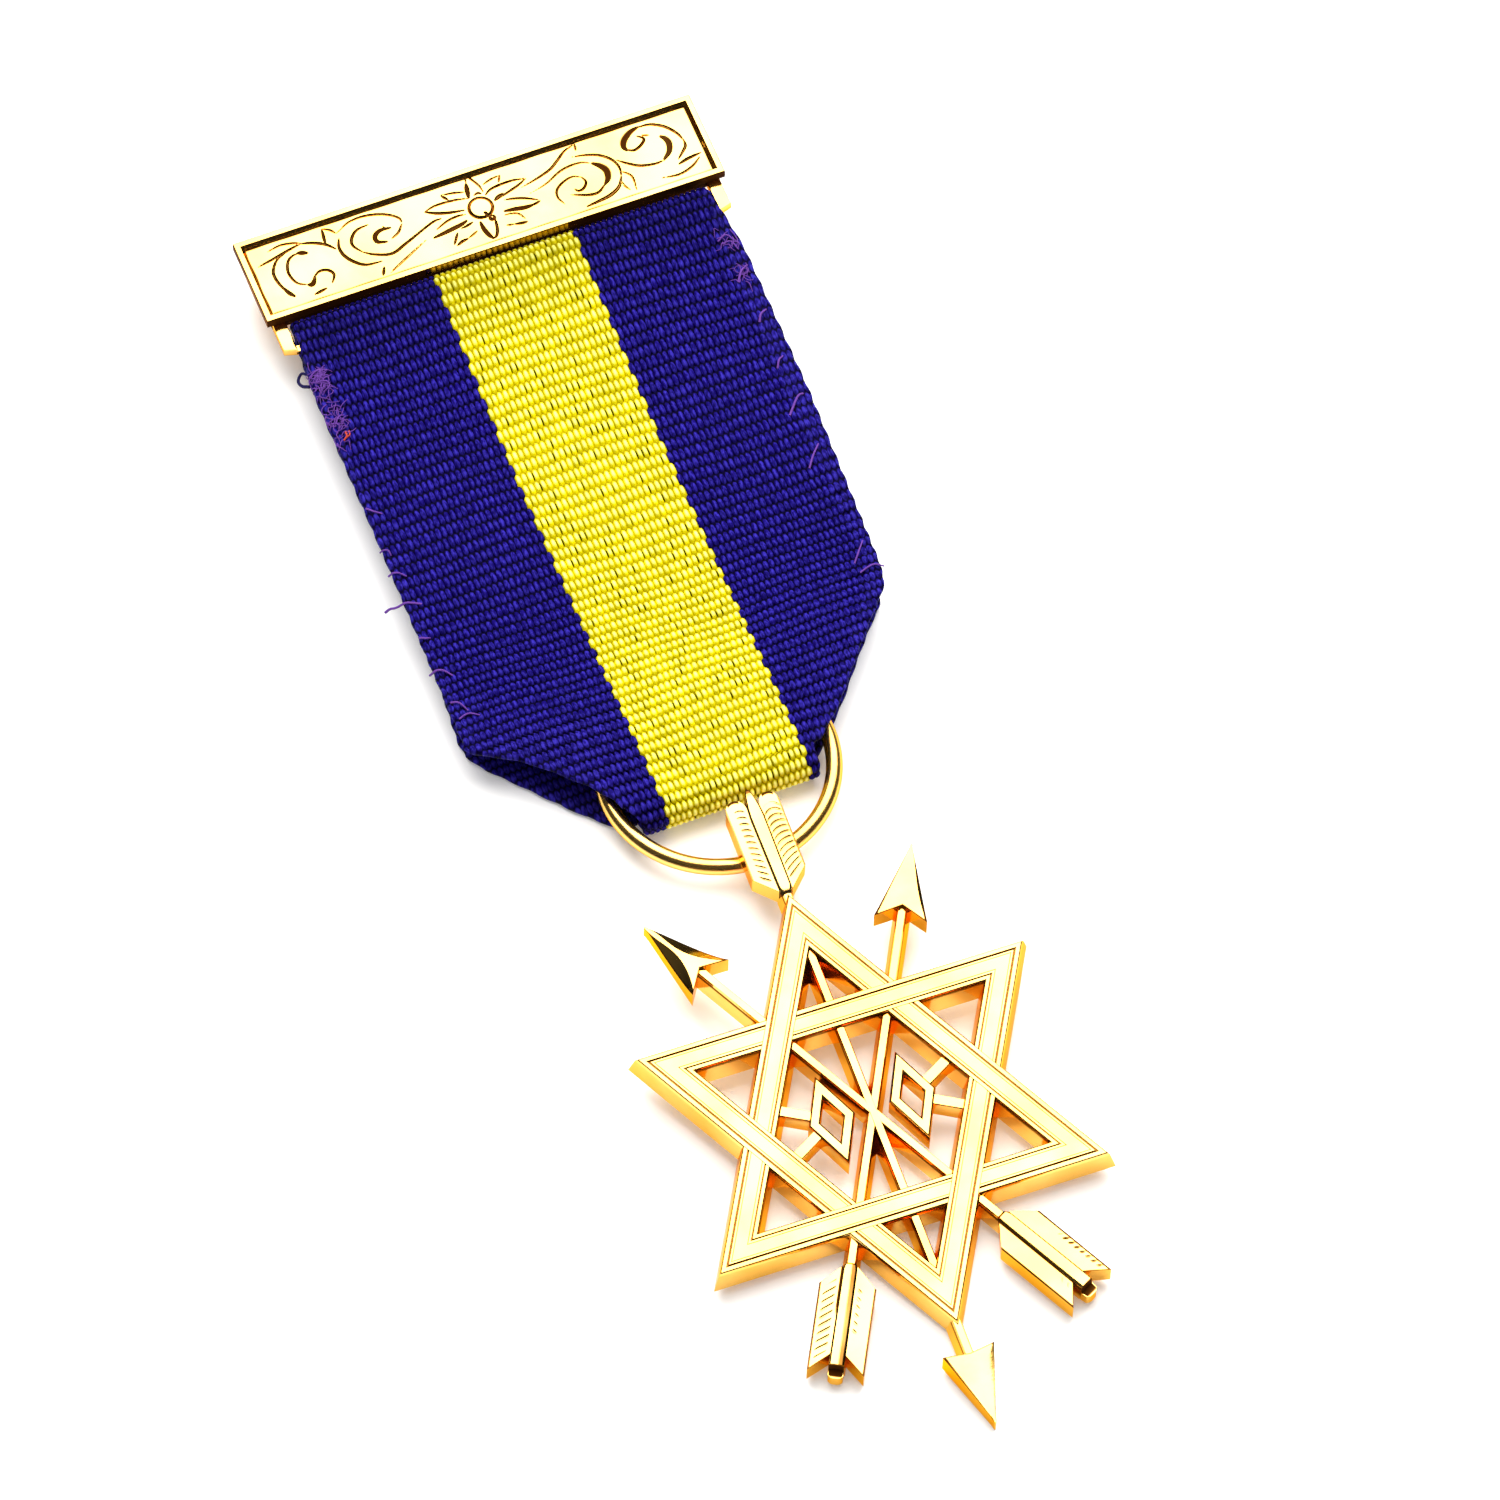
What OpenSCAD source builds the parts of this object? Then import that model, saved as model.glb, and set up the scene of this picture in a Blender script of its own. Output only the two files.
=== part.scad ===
// Breast jewel lying on its back: an engraved top bar with a brooch pin behind it, a
// ribbon looped through the bar's frame and through a plain ring, and a pierced star of
// two laced triangles over three crossed arrows.
// Millimetres, +Z up, front upwards. X runs along the bar and +Y from the star to the
// bar. The origin is the middle of the footprint, on the surface that it lies on.

/* [Ribbon] */
// Width of the ribbon
ribbon_w = 32; // [28:0.5:38]
// Thickness of one ply of the ribbon
ply_t = 1; // [0.6:0.05:1.2]
// Length from the loop over the rail down to the fold through the ring
ribbon_drop = 45.7; // [40:0.1:60]
// How far the left lower corner stands above the fold
left_corner_h = 9.8; // [8:0.1:14]
// How far the right lower corner stands above the fold
right_corner_h = 11.6; // [8:0.1:14]
// How far the right lower corner is drawn in
right_corner_in = 0.4; // [0:0.1:1]
// Sideways drift of the ribbon's fold, minus is to the left
ribbon_drift = -0.5; // [-1.5:0.1:1.5]
// Length over which the two sewn plies open round the rail or the ring
ply_opening = 3.5; // [3:0.1:6]

/* [Top bar] */
// How far the bar stands past the ribbon at each end
bar_overhang = 1; // [0.8:0.05:2]
// Height of the bar's face, from its lower to its upper edge
bar_h = 6.9; // [6:0.1:9]
// Thickness of the front plate
plate_t = 0.75; // [0.65:0.05:1.2]
// Width of the raised rim round the field
rim_w = 0.5; // [0.3:0.05:0.9]
// Depth of the sunk field below the rim
field_d = 0.4; // [0.2:0.05:0.5]
// Height of the cast flower and depth of the engraved scrolls
relief = 0.12; // [0.06:0.02:0.16]
// Width of an engraved line
scroll_w = 0.16; // [0.1:0.02:0.3]

/* [Slotted frame] */
// Thickness of the slotted frame behind the plate
frame_t = 0.75; // [0.6:0.05:1.2]
// How far the frame stands in from the plate's ends
frame_inset = 0.4; // [0.2:0.05:0.6]
// Width of the arms beside the slot
arm_w = 0.95; // [0.7:0.05:1.4]
// How far the arms reach below the plate
arm_drop = 2.45; // [2.3:0.05:4]
// Height of the rail between the arms
rail_h = 0.55; // [0.45:0.05:0.8]
// Thickness of the rail
rail_t = 0.5; // [0.4:0.05:0.6]

/* [Brooch pin] */
// How far the hinge and the catch hold the bar off the surface
clasp_h = 2.9; // [2.7:0.1:4]
// Diameter of the pin's wire
pin_d = 0.9; // [0.7:0.05:1.1]
// Width of the hinge and catch blocks along the bar
clasp_w = 2; // [1.6:0.1:3]
// Depth of the hinge and catch blocks across the bar
clasp_depth = 2.4; // [2.2:0.1:3]
// Distance from the frame's end to the hinge or the catch
clasp_inset = 1.2; // [0.6:0.1:3]
// How far the pin lies above the bar's middle line
pin_y = 0.9; // [0:0.1:1.5]

/* [Ring] */
// Outer diameter of the ring
ring_od = 17; // [16:0.1:20]
// Diameter of the ring's wire
wire_d = 1.15; // [1:0.05:1.4]
// How far the ring's middle lies above the ribbon's fold
ring_rise = 3.2; // [2.8:0.1:4]

/* [Star] */
// Radius from the star's middle to a tip, across the jewel
star_r = 15.95; // [15:0.05:18]
// How much taller than regular the star is
star_stretch = 1.056; // [1:0.002:1.1]
// Width of the star's bands
band_w = 2.12; // [1.7:0.02:2.4]
// Thickness of the casting
cast_t = 1.8; // [1.6:0.05:2.4]
// Bevel along the bands' outer edges
band_bevel = 0.2; // [0.1:0.02:0.3]
// Width of the inner border of a band, up to its sunk line
inner_border = 0.45; // [0.3:0.05:0.6]
// Width of the sunk lines along the bands
line_w = 0.12; // [0.08:0.02:0.2]
// Depth of the sunk lines along the bands
line_d = 0.12; // [0.06:0.02:0.2]

/* [Arrows] */
// Angle of the arrow that points up and left, from the upright one
left_arrow_angle = 28.6; // [26:0.1:31]
// Angle of the arrow that points up and right, from the upright one
right_arrow_angle = 27.1; // [26:0.1:31]
// How far below the star's middle the slanted arrows cross
cross_drop = 0.2; // [0:0.05:1]
// Distance from the crossing to the tips of the slanted heads
slant_tip = 20.4; // [18.5:0.05:22]
// Distance from the crossing to the tails of the slanted arrows
slant_tail = 19.9; // [19:0.05:23]
// Width of the shafts
shaft_w = 0.62; // [0.5:0.02:0.9]
// How far the shafts lie below the bands' faces
shaft_sink = 0.25; // [0.15:0.05:0.4]
// Length of a slanted arrow's head, from its tip to its barbs
head_l = 6.05; // [5:0.05:7]
// Width of a head over its barbs
head_w = 3.6; // [3:0.05:4.5]
// How far the barbs sweep back past the shaft's end
barb_sweep = 1; // [0.6:0.1:1.8]
// Length of the lower head
lower_head_l = 5.95; // [5:0.05:7]
// Sweep of the lower head's barbs
lower_barb_sweep = 0.3; // [0.1:0.1:1]
// How far a head's edges lie below its ridge
head_fall = 0.7; // [0.3:0.05:0.9]
// How far a head's ridge falls towards its tip
tip_fall = 0.7; // [0.2:0.05:0.9]
// Length of the top fletching, from its front point to its nock
fletch_l = 8.3; // [7:0.1:9]
// Length of the slanted arrows' fletchings
slant_fletch_l = 8; // [7:0.1:9]
// Width of a fletching
fletch_w = 3.9; // [3.3:0.1:4.6]
// Sweep of the vanes' ends
vane_sweep = 1.2; // [0.8:0.1:1.8]
// How far the nock stands past the vanes' tips
nock_out = 0.55; // [0.4:0.05:0.9]
// Width of the ridge along a fletching
ridge_w = 0.75; // [0.6:0.05:1.1]
// Length of the lower arrow past the star's tip
lower_head_out = 7.9; // [7:0.05:9.5]

/* [Centre ornament] */
// Distance of the two open lozenges from the upright arrow
lozenge_x = 2.85; // [2.6:0.05:3.2]
// Height of a lozenge
lozenge_h = 6.9; // [5.5:0.1:7.4]
// Width of a lozenge
lozenge_w = 3.3; // [2.9:0.1:4]
// Width of a lozenge's stroke
lozenge_stroke = 0.78; // [0.6:0.02:0.9]

/* [How it lies] */
// Turn of the star on the ring, minus is clockwise
star_turn = -2.05; // [-8:0.05:8]
// How far round the ring from its lowest point the star hangs, in degrees
bail_round = 3.2; // [-8:0.1:8]
// Thickness of the bail's wire
bail_d = 0.6; // [0.5:0.05:0.7]

/* [Clearances] */
// Gap between pieces that lie on each other
slip = 0.1; // [0.08:0.01:0.2]
// Gap beside the ribbon and round the ring's wire
side_slip = 0.15; // [0.1:0.01:0.25]

/* [Hidden] */
$fn = 48;
eps = 0.01;

bar_w = ribbon_w + 2 * bar_overhang;
face_z = clasp_h + frame_t + plate_t;
field_z = face_z - field_d;
field_w = bar_w - 2 * rim_w;
field_h = bar_h - 2 * rim_w;

frame_w = bar_w - 2 * frame_inset;
slot_w = frame_w - 2 * arm_w;
slot_top = -bar_h / 2 + slip;
arm_end = -bar_h / 2 - arm_drop;
rail_top = arm_end + rail_h;
rail_z = clasp_h + rail_t / 2;

clasp_x = frame_w / 2 - clasp_inset - clasp_w / 2;
pin_z = pin_d / 2 + slip + (clasp_h - pin_d) / 4;

loop_in = rail_t / 2 + slip;
loop_r = loop_in + ply_t;
loop_hw = slot_w / 2 - side_slip;
fold_y = rail_top + loop_r - ribbon_drop;
pocket_in = wire_d / 2 + side_slip;
fold_r = pocket_in + ply_t;
ring_z = fold_r + slip / 2;
fold_arc_y = fold_y + fold_r;

ring_x = ribbon_drift;
ring_y = fold_y + ring_rise;
ring_ri = ring_od / 2 - wire_d;
ring_rm = (ring_od - wire_d) / 2;
fold_hw = sqrt(pow(ring_ri, 2) - pow(ring_rise, 2)) - side_slip;
pocket_y = ring_y + ring_od / 2 + 2 * side_slip;

star_tip_y = star_r * star_stretch;
foot_l = star_tip_y + lower_head_out;
bail_y = star_tip_y + fletch_l / 2;
bail_at = [ring_x + ring_rm * sin(bail_round), ring_y - ring_rm * cos(bail_round)];
cast_rise = ring_z + wire_d / 2 + slip;
star_tilt = asin(cast_rise / (bail_y + foot_l));
star_reach = (bail_y + foot_l) * cos(star_tilt) - foot_l;
star_at = [
    bail_at[0] + star_reach * sin(star_turn),
    bail_at[1] - star_reach * cos(star_turn)
];

// The lower tip's top edge leans out a little further than its foot
tip_z = cast_t - tip_fall;
lowest_y = star_at[1] - (foot_l + tip_z * sin(star_tilt)) * cos(star_turn);
place_y = -(bar_h / 2 + lowest_y) / 2;

// Petals of the flower: angle, length as a share of the field's height, half width share
PETALS = [
    [90, 0.5, 0.085], [-90, 0.44, 0.085],
    [19, 0.69, 0.06], [161, 0.66, 0.06], [-11, 0.72, 0.06], [193, 0.66, 0.06],
    [44, 0.5, 0.05], [135, 0.48, 0.05], [-37, 0.55, 0.05], [219, 0.52, 0.05]
];
// Scroll lines right of the flower, as shares of the field's height:
// centre x, centre y, radius, first angle, sweep. The left half is the same, turned half round.
SCROLLS = [
    [1.41, -0.06, 0.34, 120, -225],
    [1.35, 0.0, 0.24, 95, -200],
    [1.27, -0.04, 0.12, 200, -240],
    [2.35, 0.04, 0.37, 130, -180],
    [2.28, 0.06, 0.22, 30, -150],
    [2.1, 0.24, 0.1, 100, 250],
    [0.95, 0.95, 0.83, -105, 45]
];

function turned(p, a) = [p[0] * cos(a) - p[1] * sin(a), p[0] * sin(a) + p[1] * cos(a)];
function heading(a, b) = atan2(b[1] - a[1], b[0] - a[0]);
function tip(i) = [star_r * cos(90 - 60 * i), star_tip_y * sin(90 - 60 * i)];

// Middle of the circle that touches the three sides of a triangle
function incentre(a, b, c) =
    let (la = norm(b - c), lb = norm(c - a), lc = norm(a - b))
    (la * a + lb * b + lc * c) / (la + lb + lc);

// Height of the ribbon's front face, a straight run from the loop to the ring's pocket
function front_z(y) =
    let (share = (rail_top - y) / (rail_top - pocket_y))
    rail_z + loop_r + share * (ring_z + fold_r - rail_z - loop_r);

module placed() translate([0, place_y, 0]) children();

// Flat plate with its top face at z
module slab(w, h, top, t) {
    translate([0, 0, top - t]) linear_extrude(t) square([w, h], center = true);
}

module flower() {
    unit = field_h;
    centre_r = 0.14 * unit;
    for (p = PETALS) {
        rotate(p[0])
            translate([0, 0, field_z - eps])
            linear_extrude(relief + eps)
            polygon([
                [centre_r / 2, 0],
                [p[1] * unit * 0.55, p[2] * unit],
                [p[1] * unit, 0],
                [p[1] * unit * 0.55, -p[2] * unit]
            ]);
    }
    translate([0, 0, field_z - eps]) cylinder(r = centre_r, h = relief * 1.5 + eps);
}

module scrolls() {
    for (s = [0, 180], k = SCROLLS) {
        rotate(s)
            translate([k[0] * field_h, k[1] * field_h, field_z - relief])
            rotate(k[3] + min(k[4], 0))
            rotate_extrude(angle = abs(k[4]))
            translate([k[2] * field_h - scroll_w / 2, 0])
            square([scroll_w, relief + eps]);
    }
}

module front_plate() {
    difference() {
        slab(bar_w, bar_h, face_z, plate_t);
        slab(field_w, field_h, face_z + eps, field_d + eps);
        scrolls();
    }
    flower();
}

// Frame behind the plate, with arms beside the ribbon and a thin rail between them
module slotted_frame() {
    frame_top = bar_h / 2 - frame_inset;
    difference() {
        translate([-frame_w / 2, arm_end, clasp_h])
            cube([frame_w, frame_top - arm_end, frame_t]);
        translate([-slot_w / 2, rail_top, clasp_h - eps])
            cube([slot_w, slot_top - rail_top, frame_t + 2 * eps]);
        translate([-slot_w / 2, arm_end - eps, clasp_h + rail_t])
            cube([slot_w, rail_h + 2 * eps, frame_t]);
    }
}

module clasp_block(x) {
    translate([x - clasp_w / 2, pin_y - clasp_depth / 2, 0])
        cube([clasp_w, clasp_depth, clasp_h + eps]);
}

module pin_hinge() {
    difference() {
        clasp_block(-clasp_x);
        translate([-clasp_x - clasp_w / 4, pin_y, pin_z])
            rotate([0, 90, 0])
            cylinder(d = pin_d + 2 * slip, h = clasp_w);
    }
}

// Open hook that the pin's point lies in
module pin_catch() {
    difference() {
        clasp_block(clasp_x);
        translate([clasp_x - clasp_w, pin_y, pin_z])
            rotate([0, 90, 0])
            cylinder(d = pin_d + 2 * slip, h = 2 * clasp_w);
        translate([clasp_x - clasp_w, pin_y, pin_z - pin_d / 2 - slip])
            cube([2 * clasp_w, clasp_depth, pin_d + 2 * slip]);
    }
}

module top_bar() placed() color("gold") {
    front_plate();
    slotted_frame();
    pin_hinge();
    pin_catch();
}

module brooch_pin() placed() color("goldenrod") {
    root_x = -clasp_x - clasp_w / 4 + slip;
    point_l = 1.6;
    shank_l = 2 * clasp_x + clasp_w * 3 / 4 - slip;
    translate([root_x, pin_y, pin_z]) rotate([0, 90, 0]) {
        cylinder(d = pin_d, h = shank_l - point_l);
        translate([0, 0, shank_l - point_l]) cylinder(d1 = pin_d, d2 = pin_d / 4, h = point_l);
    }
}

// Side view of the ribbon, y to the right and z up: two plies sewn together, which open
// round the rail at one end and round the ring's wire at the other
module ribbon_profile() {
    sewn_top = arm_end - ply_opening;
    sewn_end = pocket_y + ply_opening;
    difference() {
        union() {
            translate([rail_top, rail_z]) circle(r = loop_r);
            translate([fold_arc_y, ring_z]) circle(r = fold_r);
            polygon([
                [rail_top, rail_z + loop_r],
                [pocket_y, ring_z + fold_r],
                [fold_arc_y, ring_z + fold_r],
                [fold_arc_y, ring_z - fold_r],
                [pocket_y, ring_z - fold_r],
                [sewn_end, front_z(sewn_end) - 2 * ply_t],
                [sewn_top, front_z(sewn_top) - 2 * ply_t],
                [arm_end, rail_z - loop_r],
                [rail_top, rail_z - loop_r]
            ]);
        }
        translate([rail_top, rail_z]) circle(r = loop_in);
        polygon([
            [rail_top, rail_z + loop_in],
            [sewn_top, front_z(sewn_top) - ply_t],
            [arm_end, rail_z - loop_in],
            [rail_top, rail_z - loop_in]
        ]);
        translate([fold_arc_y, ring_z]) circle(r = pocket_in);
        polygon([
            [sewn_end, front_z(sewn_end) - ply_t],
            [pocket_y, ring_z + pocket_in],
            [fold_arc_y, ring_z + pocket_in],
            [fold_arc_y, ring_z - pocket_in],
            [pocket_y, ring_z - pocket_in]
        ]);
    }
}

// Front view of the ribbon: narrow between the arms, full width below them, and
// slanted in from its lower corners to the fold
module ribbon_outline() {
    neck_y = arm_end - side_slip;
    full_y = neck_y - ply_opening;
    side_y = fold_y + ply_t + side_slip;
    loop_y = rail_top + loop_r + eps;
    left_y = fold_y + left_corner_h;
    right_y = fold_y + right_corner_h;
    half = ribbon_w / 2;
    polygon([
        [-loop_hw, loop_y], [loop_hw, loop_y],
        [loop_hw, neck_y], [half, full_y],
        [half + ribbon_drift - right_corner_in, right_y],
        [fold_hw + ribbon_drift, side_y], [fold_hw + ribbon_drift, fold_y - eps],
        [-fold_hw + ribbon_drift, fold_y - eps], [-fold_hw + ribbon_drift, side_y],
        [-half + ribbon_drift / 2, left_y],
        [-half, full_y], [-loop_hw, neck_y]
    ]);
}

module ribbon() placed() color("indigo") {
    intersection() {
        translate([-ribbon_w, 0, 0])
            rotate([90, 0, 90])
            linear_extrude(2 * ribbon_w)
            ribbon_profile();
        linear_extrude(face_z + ply_t + loop_r) ribbon_outline();
    }
}

module suspension_ring() placed() color("gold") {
    translate([ring_x, ring_y, ring_z])
        rotate_extrude()
        translate([ring_rm, 0])
        circle(d = wire_d);
}

// Cross-section of a band: x runs inwards from the outer edge, y up from the back
module band_section() {
    outer_line = band_bevel + line_w / 2;
    inner_line = band_w - inner_border;
    floor_z = cast_t - line_d;
    polygon([
        [0, 0], [0, cast_t - band_bevel], [band_bevel, cast_t],
        [outer_line, cast_t], [outer_line, floor_z],
        [outer_line + line_w, floor_z], [outer_line + line_w, cast_t],
        [inner_line - line_w, cast_t], [inner_line - line_w, floor_z],
        [inner_line, floor_z], [inner_line, cast_t],
        [band_w, cast_t], [band_w, 0]
    ]);
}

// Band k runs between two tips of one triangle, and lies over band k + 1
function band_start(k) = tip(k % 6);
function band_end(k) = tip((k + 4) % 6);
function band_third(k) = tip((k + 2) % 6);

module band_run(k) {
    a = band_start(k);
    b = band_end(k);
    translate([a[0], a[1], 0])
        rotate(heading(a, b) + 90)
        rotate([90, 0, 0])
        linear_extrude(norm(b - a))
        children();
}

module band(k) {
    a = band_start(k);
    b = band_end(k);
    mid = incentre(a, b, band_third(k));
    difference() {
        intersection() {
            band_run(k) band_section();
            linear_extrude(cast_t + eps) polygon([a, b, mid]);
        }
        band_run((k + 5) % 6) translate([0, -eps]) square([band_w, cast_t + 2 * eps]);
    }
}

// Straight bar with its top face at the shafts' level
module shaft(from, to) {
    translate([-shaft_w / 2, from, 0]) cube([shaft_w, to - from, cast_t - shaft_sink]);
}

// Barbed head with its tip at the given distance. Its two facets fall from a ridge along
// the middle, and the ridge falls towards the tip.
module head(at, l, sweep) {
    hw = head_w / 2;
    intersection() {
        linear_extrude(cast_t) polygon([
            [0, at], [hw, at - l], [0, at - l + sweep], [-hw, at - l]
        ]);
        translate([0, at - l, cast_t])
            rotate([-atan(tip_fall / l), 0, 0])
            rotate([90, 0, 0])
            translate([0, 0, -2 * l])
            linear_extrude(3 * l)
            polygon([
                [-hw, -2 * cast_t], [hw, -2 * cast_t], [hw, -head_fall], [0, 0], [-hw, -head_fall]
            ]);
    }
}

// Two swept vanes beside a round ridge that ends in a nock
module fletching(nock, l) {
    rw = ridge_w / 2;
    fw = fletch_w / 2;
    front = nock - l;
    vane_end = nock - nock_out;
    vane_z = cast_t - ridge_w / 4;
    for (side = [0, 1]) {
        mirror([side, 0, 0]) linear_extrude(vane_z) polygon([
            [0, front], [rw, front], [fw, front + vane_sweep],
            [fw, vane_end], [rw, vane_end - vane_sweep], [0, vane_end - vane_sweep]
        ]);
    }
    translate([-rw, front, 0]) cube([ridge_w, l - rw, cast_t - rw]);
    translate([0, nock - rw, 0]) cylinder(r = rw, h = cast_t - rw);
    translate([0, nock - rw, cast_t - rw]) rotate([90, 0, 0]) cylinder(r = rw, h = l - rw);
    translate([0, nock - rw, cast_t - rw]) sphere(r = rw);
}

module slanted_arrow(angle) {
    translate([0, -cross_drop, 0]) rotate(angle) {
        shaft(-slant_tail + ridge_w, slant_tip - head_l + barb_sweep + eps);
        head(slant_tip, head_l, barb_sweep);
        rotate(180) fletching(slant_tail, slant_fletch_l);
    }
}

module upright_arrow() {
    shaft(-foot_l + lower_head_l - lower_barb_sweep - eps, star_tip_y + ridge_w);
    rotate(180) head(foot_l, lower_head_l, lower_barb_sweep);
    fletching(star_tip_y + fletch_l, fletch_l);
}

// Open lozenge, tied to the star's bands by two square lugs
module lozenge(side) {
    frame_z = cast_t - line_d;
    shrink = 1 - 2 * lozenge_stroke * norm([1 / lozenge_w, 1 / lozenge_h]);
    lug_a = 30;
    lug_l = star_r / 2 - band_w / 2 - lozenge_x * cos(lug_a);
    translate([side * lozenge_x, 0, 0]) difference() {
        union() {
            linear_extrude(frame_z) rhombus(1);
            for (s = [-1, 1]) {
                rotate(side > 0 ? s * lug_a : 180 + s * lug_a)
                    translate([0, -lozenge_stroke / 2, 0])
                    cube([lug_l, lozenge_stroke, frame_z - line_d]);
            }
        }
        translate([0, 0, -eps]) linear_extrude(cast_t) rhombus(shrink);
    }
}

module rhombus(scale_by) {
    w = lozenge_w / 2 * scale_by;
    h = lozenge_h / 2 * scale_by;
    polygon([[w, 0], [0, h], [-w, 0], [0, -h]]);
}

module bail() {
    bail_r = wire_d / 2 + side_slip + bail_d / 2;
    translate([bail_at[0], bail_at[1], ring_z])
        rotate(star_turn)
        rotate([0, 90, 0])
        rotate_extrude()
        translate([bail_r, 0])
        circle(d = bail_d);
}

// Lies on the ring's wire at its upper end and on the tip of its lower arrow
module lying_on_ring() {
    translate([star_at[0], star_at[1], 0])
        rotate(star_turn)
        translate([0, -foot_l, 0])
        rotate([star_tilt, 0, 0])
        translate([0, foot_l, 0])
        children();
}

module pendant() placed() color("gold") {
    lying_on_ring() {
        for (k = [0:5]) band(k);
        slanted_arrow(left_arrow_angle);
        slanted_arrow(-right_arrow_angle);
        upright_arrow();
        for (side = [-1, 1]) lozenge(side);
    }
    bail();
}

top_bar();
brooch_pin();
ribbon();
suspension_ring();
pendant();
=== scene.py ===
# %% [markdown]
# # A breast jewel in gilt metal and woven ribbon
# The jewel lies on its back on a pale table: an engraved bar, a ribbon looped through the frame
# behind the bar and through a plain ring, and a pierced star of two laced triangles over three
# arrows. Its solids are made already, so this lesson only dresses them. Every piece is worked out
# in millimetres with numpy, in the frame of the solids, and goes into Blender in metres.

# %% Load the fixed frame
import bmesh
import bpy
import numpy as np
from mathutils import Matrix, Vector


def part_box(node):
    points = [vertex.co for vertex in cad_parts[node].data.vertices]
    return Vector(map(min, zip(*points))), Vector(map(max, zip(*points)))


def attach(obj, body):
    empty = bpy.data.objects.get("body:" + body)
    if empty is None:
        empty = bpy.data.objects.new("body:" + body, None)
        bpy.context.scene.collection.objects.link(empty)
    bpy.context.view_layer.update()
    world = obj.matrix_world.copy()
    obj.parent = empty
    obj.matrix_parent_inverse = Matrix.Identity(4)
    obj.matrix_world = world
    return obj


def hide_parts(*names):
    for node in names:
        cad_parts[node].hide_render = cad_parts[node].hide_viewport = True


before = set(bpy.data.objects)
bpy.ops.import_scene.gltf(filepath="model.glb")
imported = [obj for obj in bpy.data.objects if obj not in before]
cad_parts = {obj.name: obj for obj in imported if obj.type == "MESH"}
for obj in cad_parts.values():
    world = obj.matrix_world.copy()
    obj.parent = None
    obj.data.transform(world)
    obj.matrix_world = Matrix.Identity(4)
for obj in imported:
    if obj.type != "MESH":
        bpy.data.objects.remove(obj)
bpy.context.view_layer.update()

# %% [markdown]
# ## Places that the solids give
# The real jewel is put together from a few stock sizes: the ribbon's 32 mm sets the bar, and the
# bar and the ring carry the rest. One could type every place by hand. It is safer to read the
# bar's and the ring's boxes and to work the rest out from them.

# %% Read the bar and the ring
MM = 0.001


def box_mm(node):
    """Lowest and highest corner of a solid, in millimetres."""
    low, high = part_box(node)
    return np.array(low) / MM, np.array(high) / MM


bar_low, bar_high = box_mm("top_bar")
ring_low, ring_high = box_mm("suspension_ring")
BAR_W = bar_high[0] - bar_low[0]
BAR_H = 6.9
FACE_Z = bar_high[2]
BAR_Y = bar_high[1] - BAR_H / 2
RING_AT = (ring_low + ring_high) / 2
WIRE_D = ring_high[2] - ring_low[2]
RING_R = (ring_high[0] - ring_low[0] - WIRE_D) / 2
print("bar", BAR_W, "x", BAR_H, "ring radius", RING_R, "wire", WIRE_D)

# %% [markdown]
# ## Surfaces as grids of points
# Cast, drawn and woven pieces all have surfaces that two numbers can walk over: along and across
# a band, round and along a wire. Modifiers on primitives could give rough forms. A grid of points
# from a formula gives each piece its exact profile, and one array holds it.

# %% Faces of a grid
def grid_faces(rows, columns, wrap_rows=False, wrap_columns=False):
    """The four corner numbers of each cell. A point's number is row times columns plus column."""
    row = np.arange(rows if wrap_rows else rows - 1)
    column = np.arange(columns if wrap_columns else columns - 1)
    row, column = np.meshgrid(row, column, indexing="ij")
    next_row = (row + 1) % rows
    next_column = (column + 1) % columns
    corners = [
        row * columns + column,
        row * columns + next_column,
        next_row * columns + next_column,
        next_row * columns + column,
    ]
    return np.stack(corners, -1).reshape(-1, 4)


def edge_loop(rows, columns):
    """Numbers of a grid's outer points, once round it, against the clock if its rows go up."""
    first = np.arange(columns)
    right = np.arange(1, rows) * columns + columns - 1
    last = (rows - 1) * columns + np.arange(columns - 2, -1, -1)
    left = np.arange(rows - 2, 0, -1) * columns
    return np.concatenate([first, right, last, left])


print("3 by 4 points give", len(grid_faces(3, 4)), "faces and", len(edge_loop(3, 4)), "outer points")

# %% Parts: grids, slabs and lofts
# Height of the thin lip under a slab's edge, in which the darkening value, soot and painted shade, goes
# from the face's value to that of the walls
LIP = 0.06


def part(points, faces, soot_shade_dye=0.0):
    """A surface: its points, its groups of faces, and one value from 0 to 1 for each point: on the
    metal how dark it is, from soot in the cuts and from painted shade and painted dark reflection, and
    on a thread its colour.
    """
    points = np.asarray(points, float).reshape(-1, 3)
    return points, faces, np.broadcast_to(np.ravel(soot_shade_dye), (len(points),)).astype(float)


def grid_part(points, closed=False):
    """A grid of points as a part, with free borders or closed both ways."""
    rows, columns = points.shape[:2]
    return part(points, [grid_faces(rows, columns, closed, closed)])


def slab(top, z_low, soot_shade_dye, foot=0.0):
    """A solid under a grid: the grid itself, straight walls below its outer points, and a floor. foot
    is the darkening value of the walls, painted shade and dark reflection on them, from a thin lip
    under the grid's edge downwards."""
    rows, columns = top.shape[:2]
    loop = edge_loop(rows, columns)
    rim = top.reshape(-1, 3)[loop]
    size = len(loop)
    lip = rows * columns + np.arange(size)
    below = lip + size
    pairs = [(loop, lip), (lip, below)]
    walls = [np.stack([a, b, np.roll(b, -1), np.roll(a, -1)], -1) for a, b in pairs]
    faces = [grid_faces(rows, columns), *walls, below[None, ::-1]]
    points = np.concatenate([top.reshape(-1, 3), rim - [0, 0, LIP], rim * [1, 1, 0] + [0, 0, z_low]])
    foot = np.broadcast_to(foot, (size,))
    return part(points, faces, np.concatenate([np.ravel(soot_shade_dye), foot, foot]))


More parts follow.
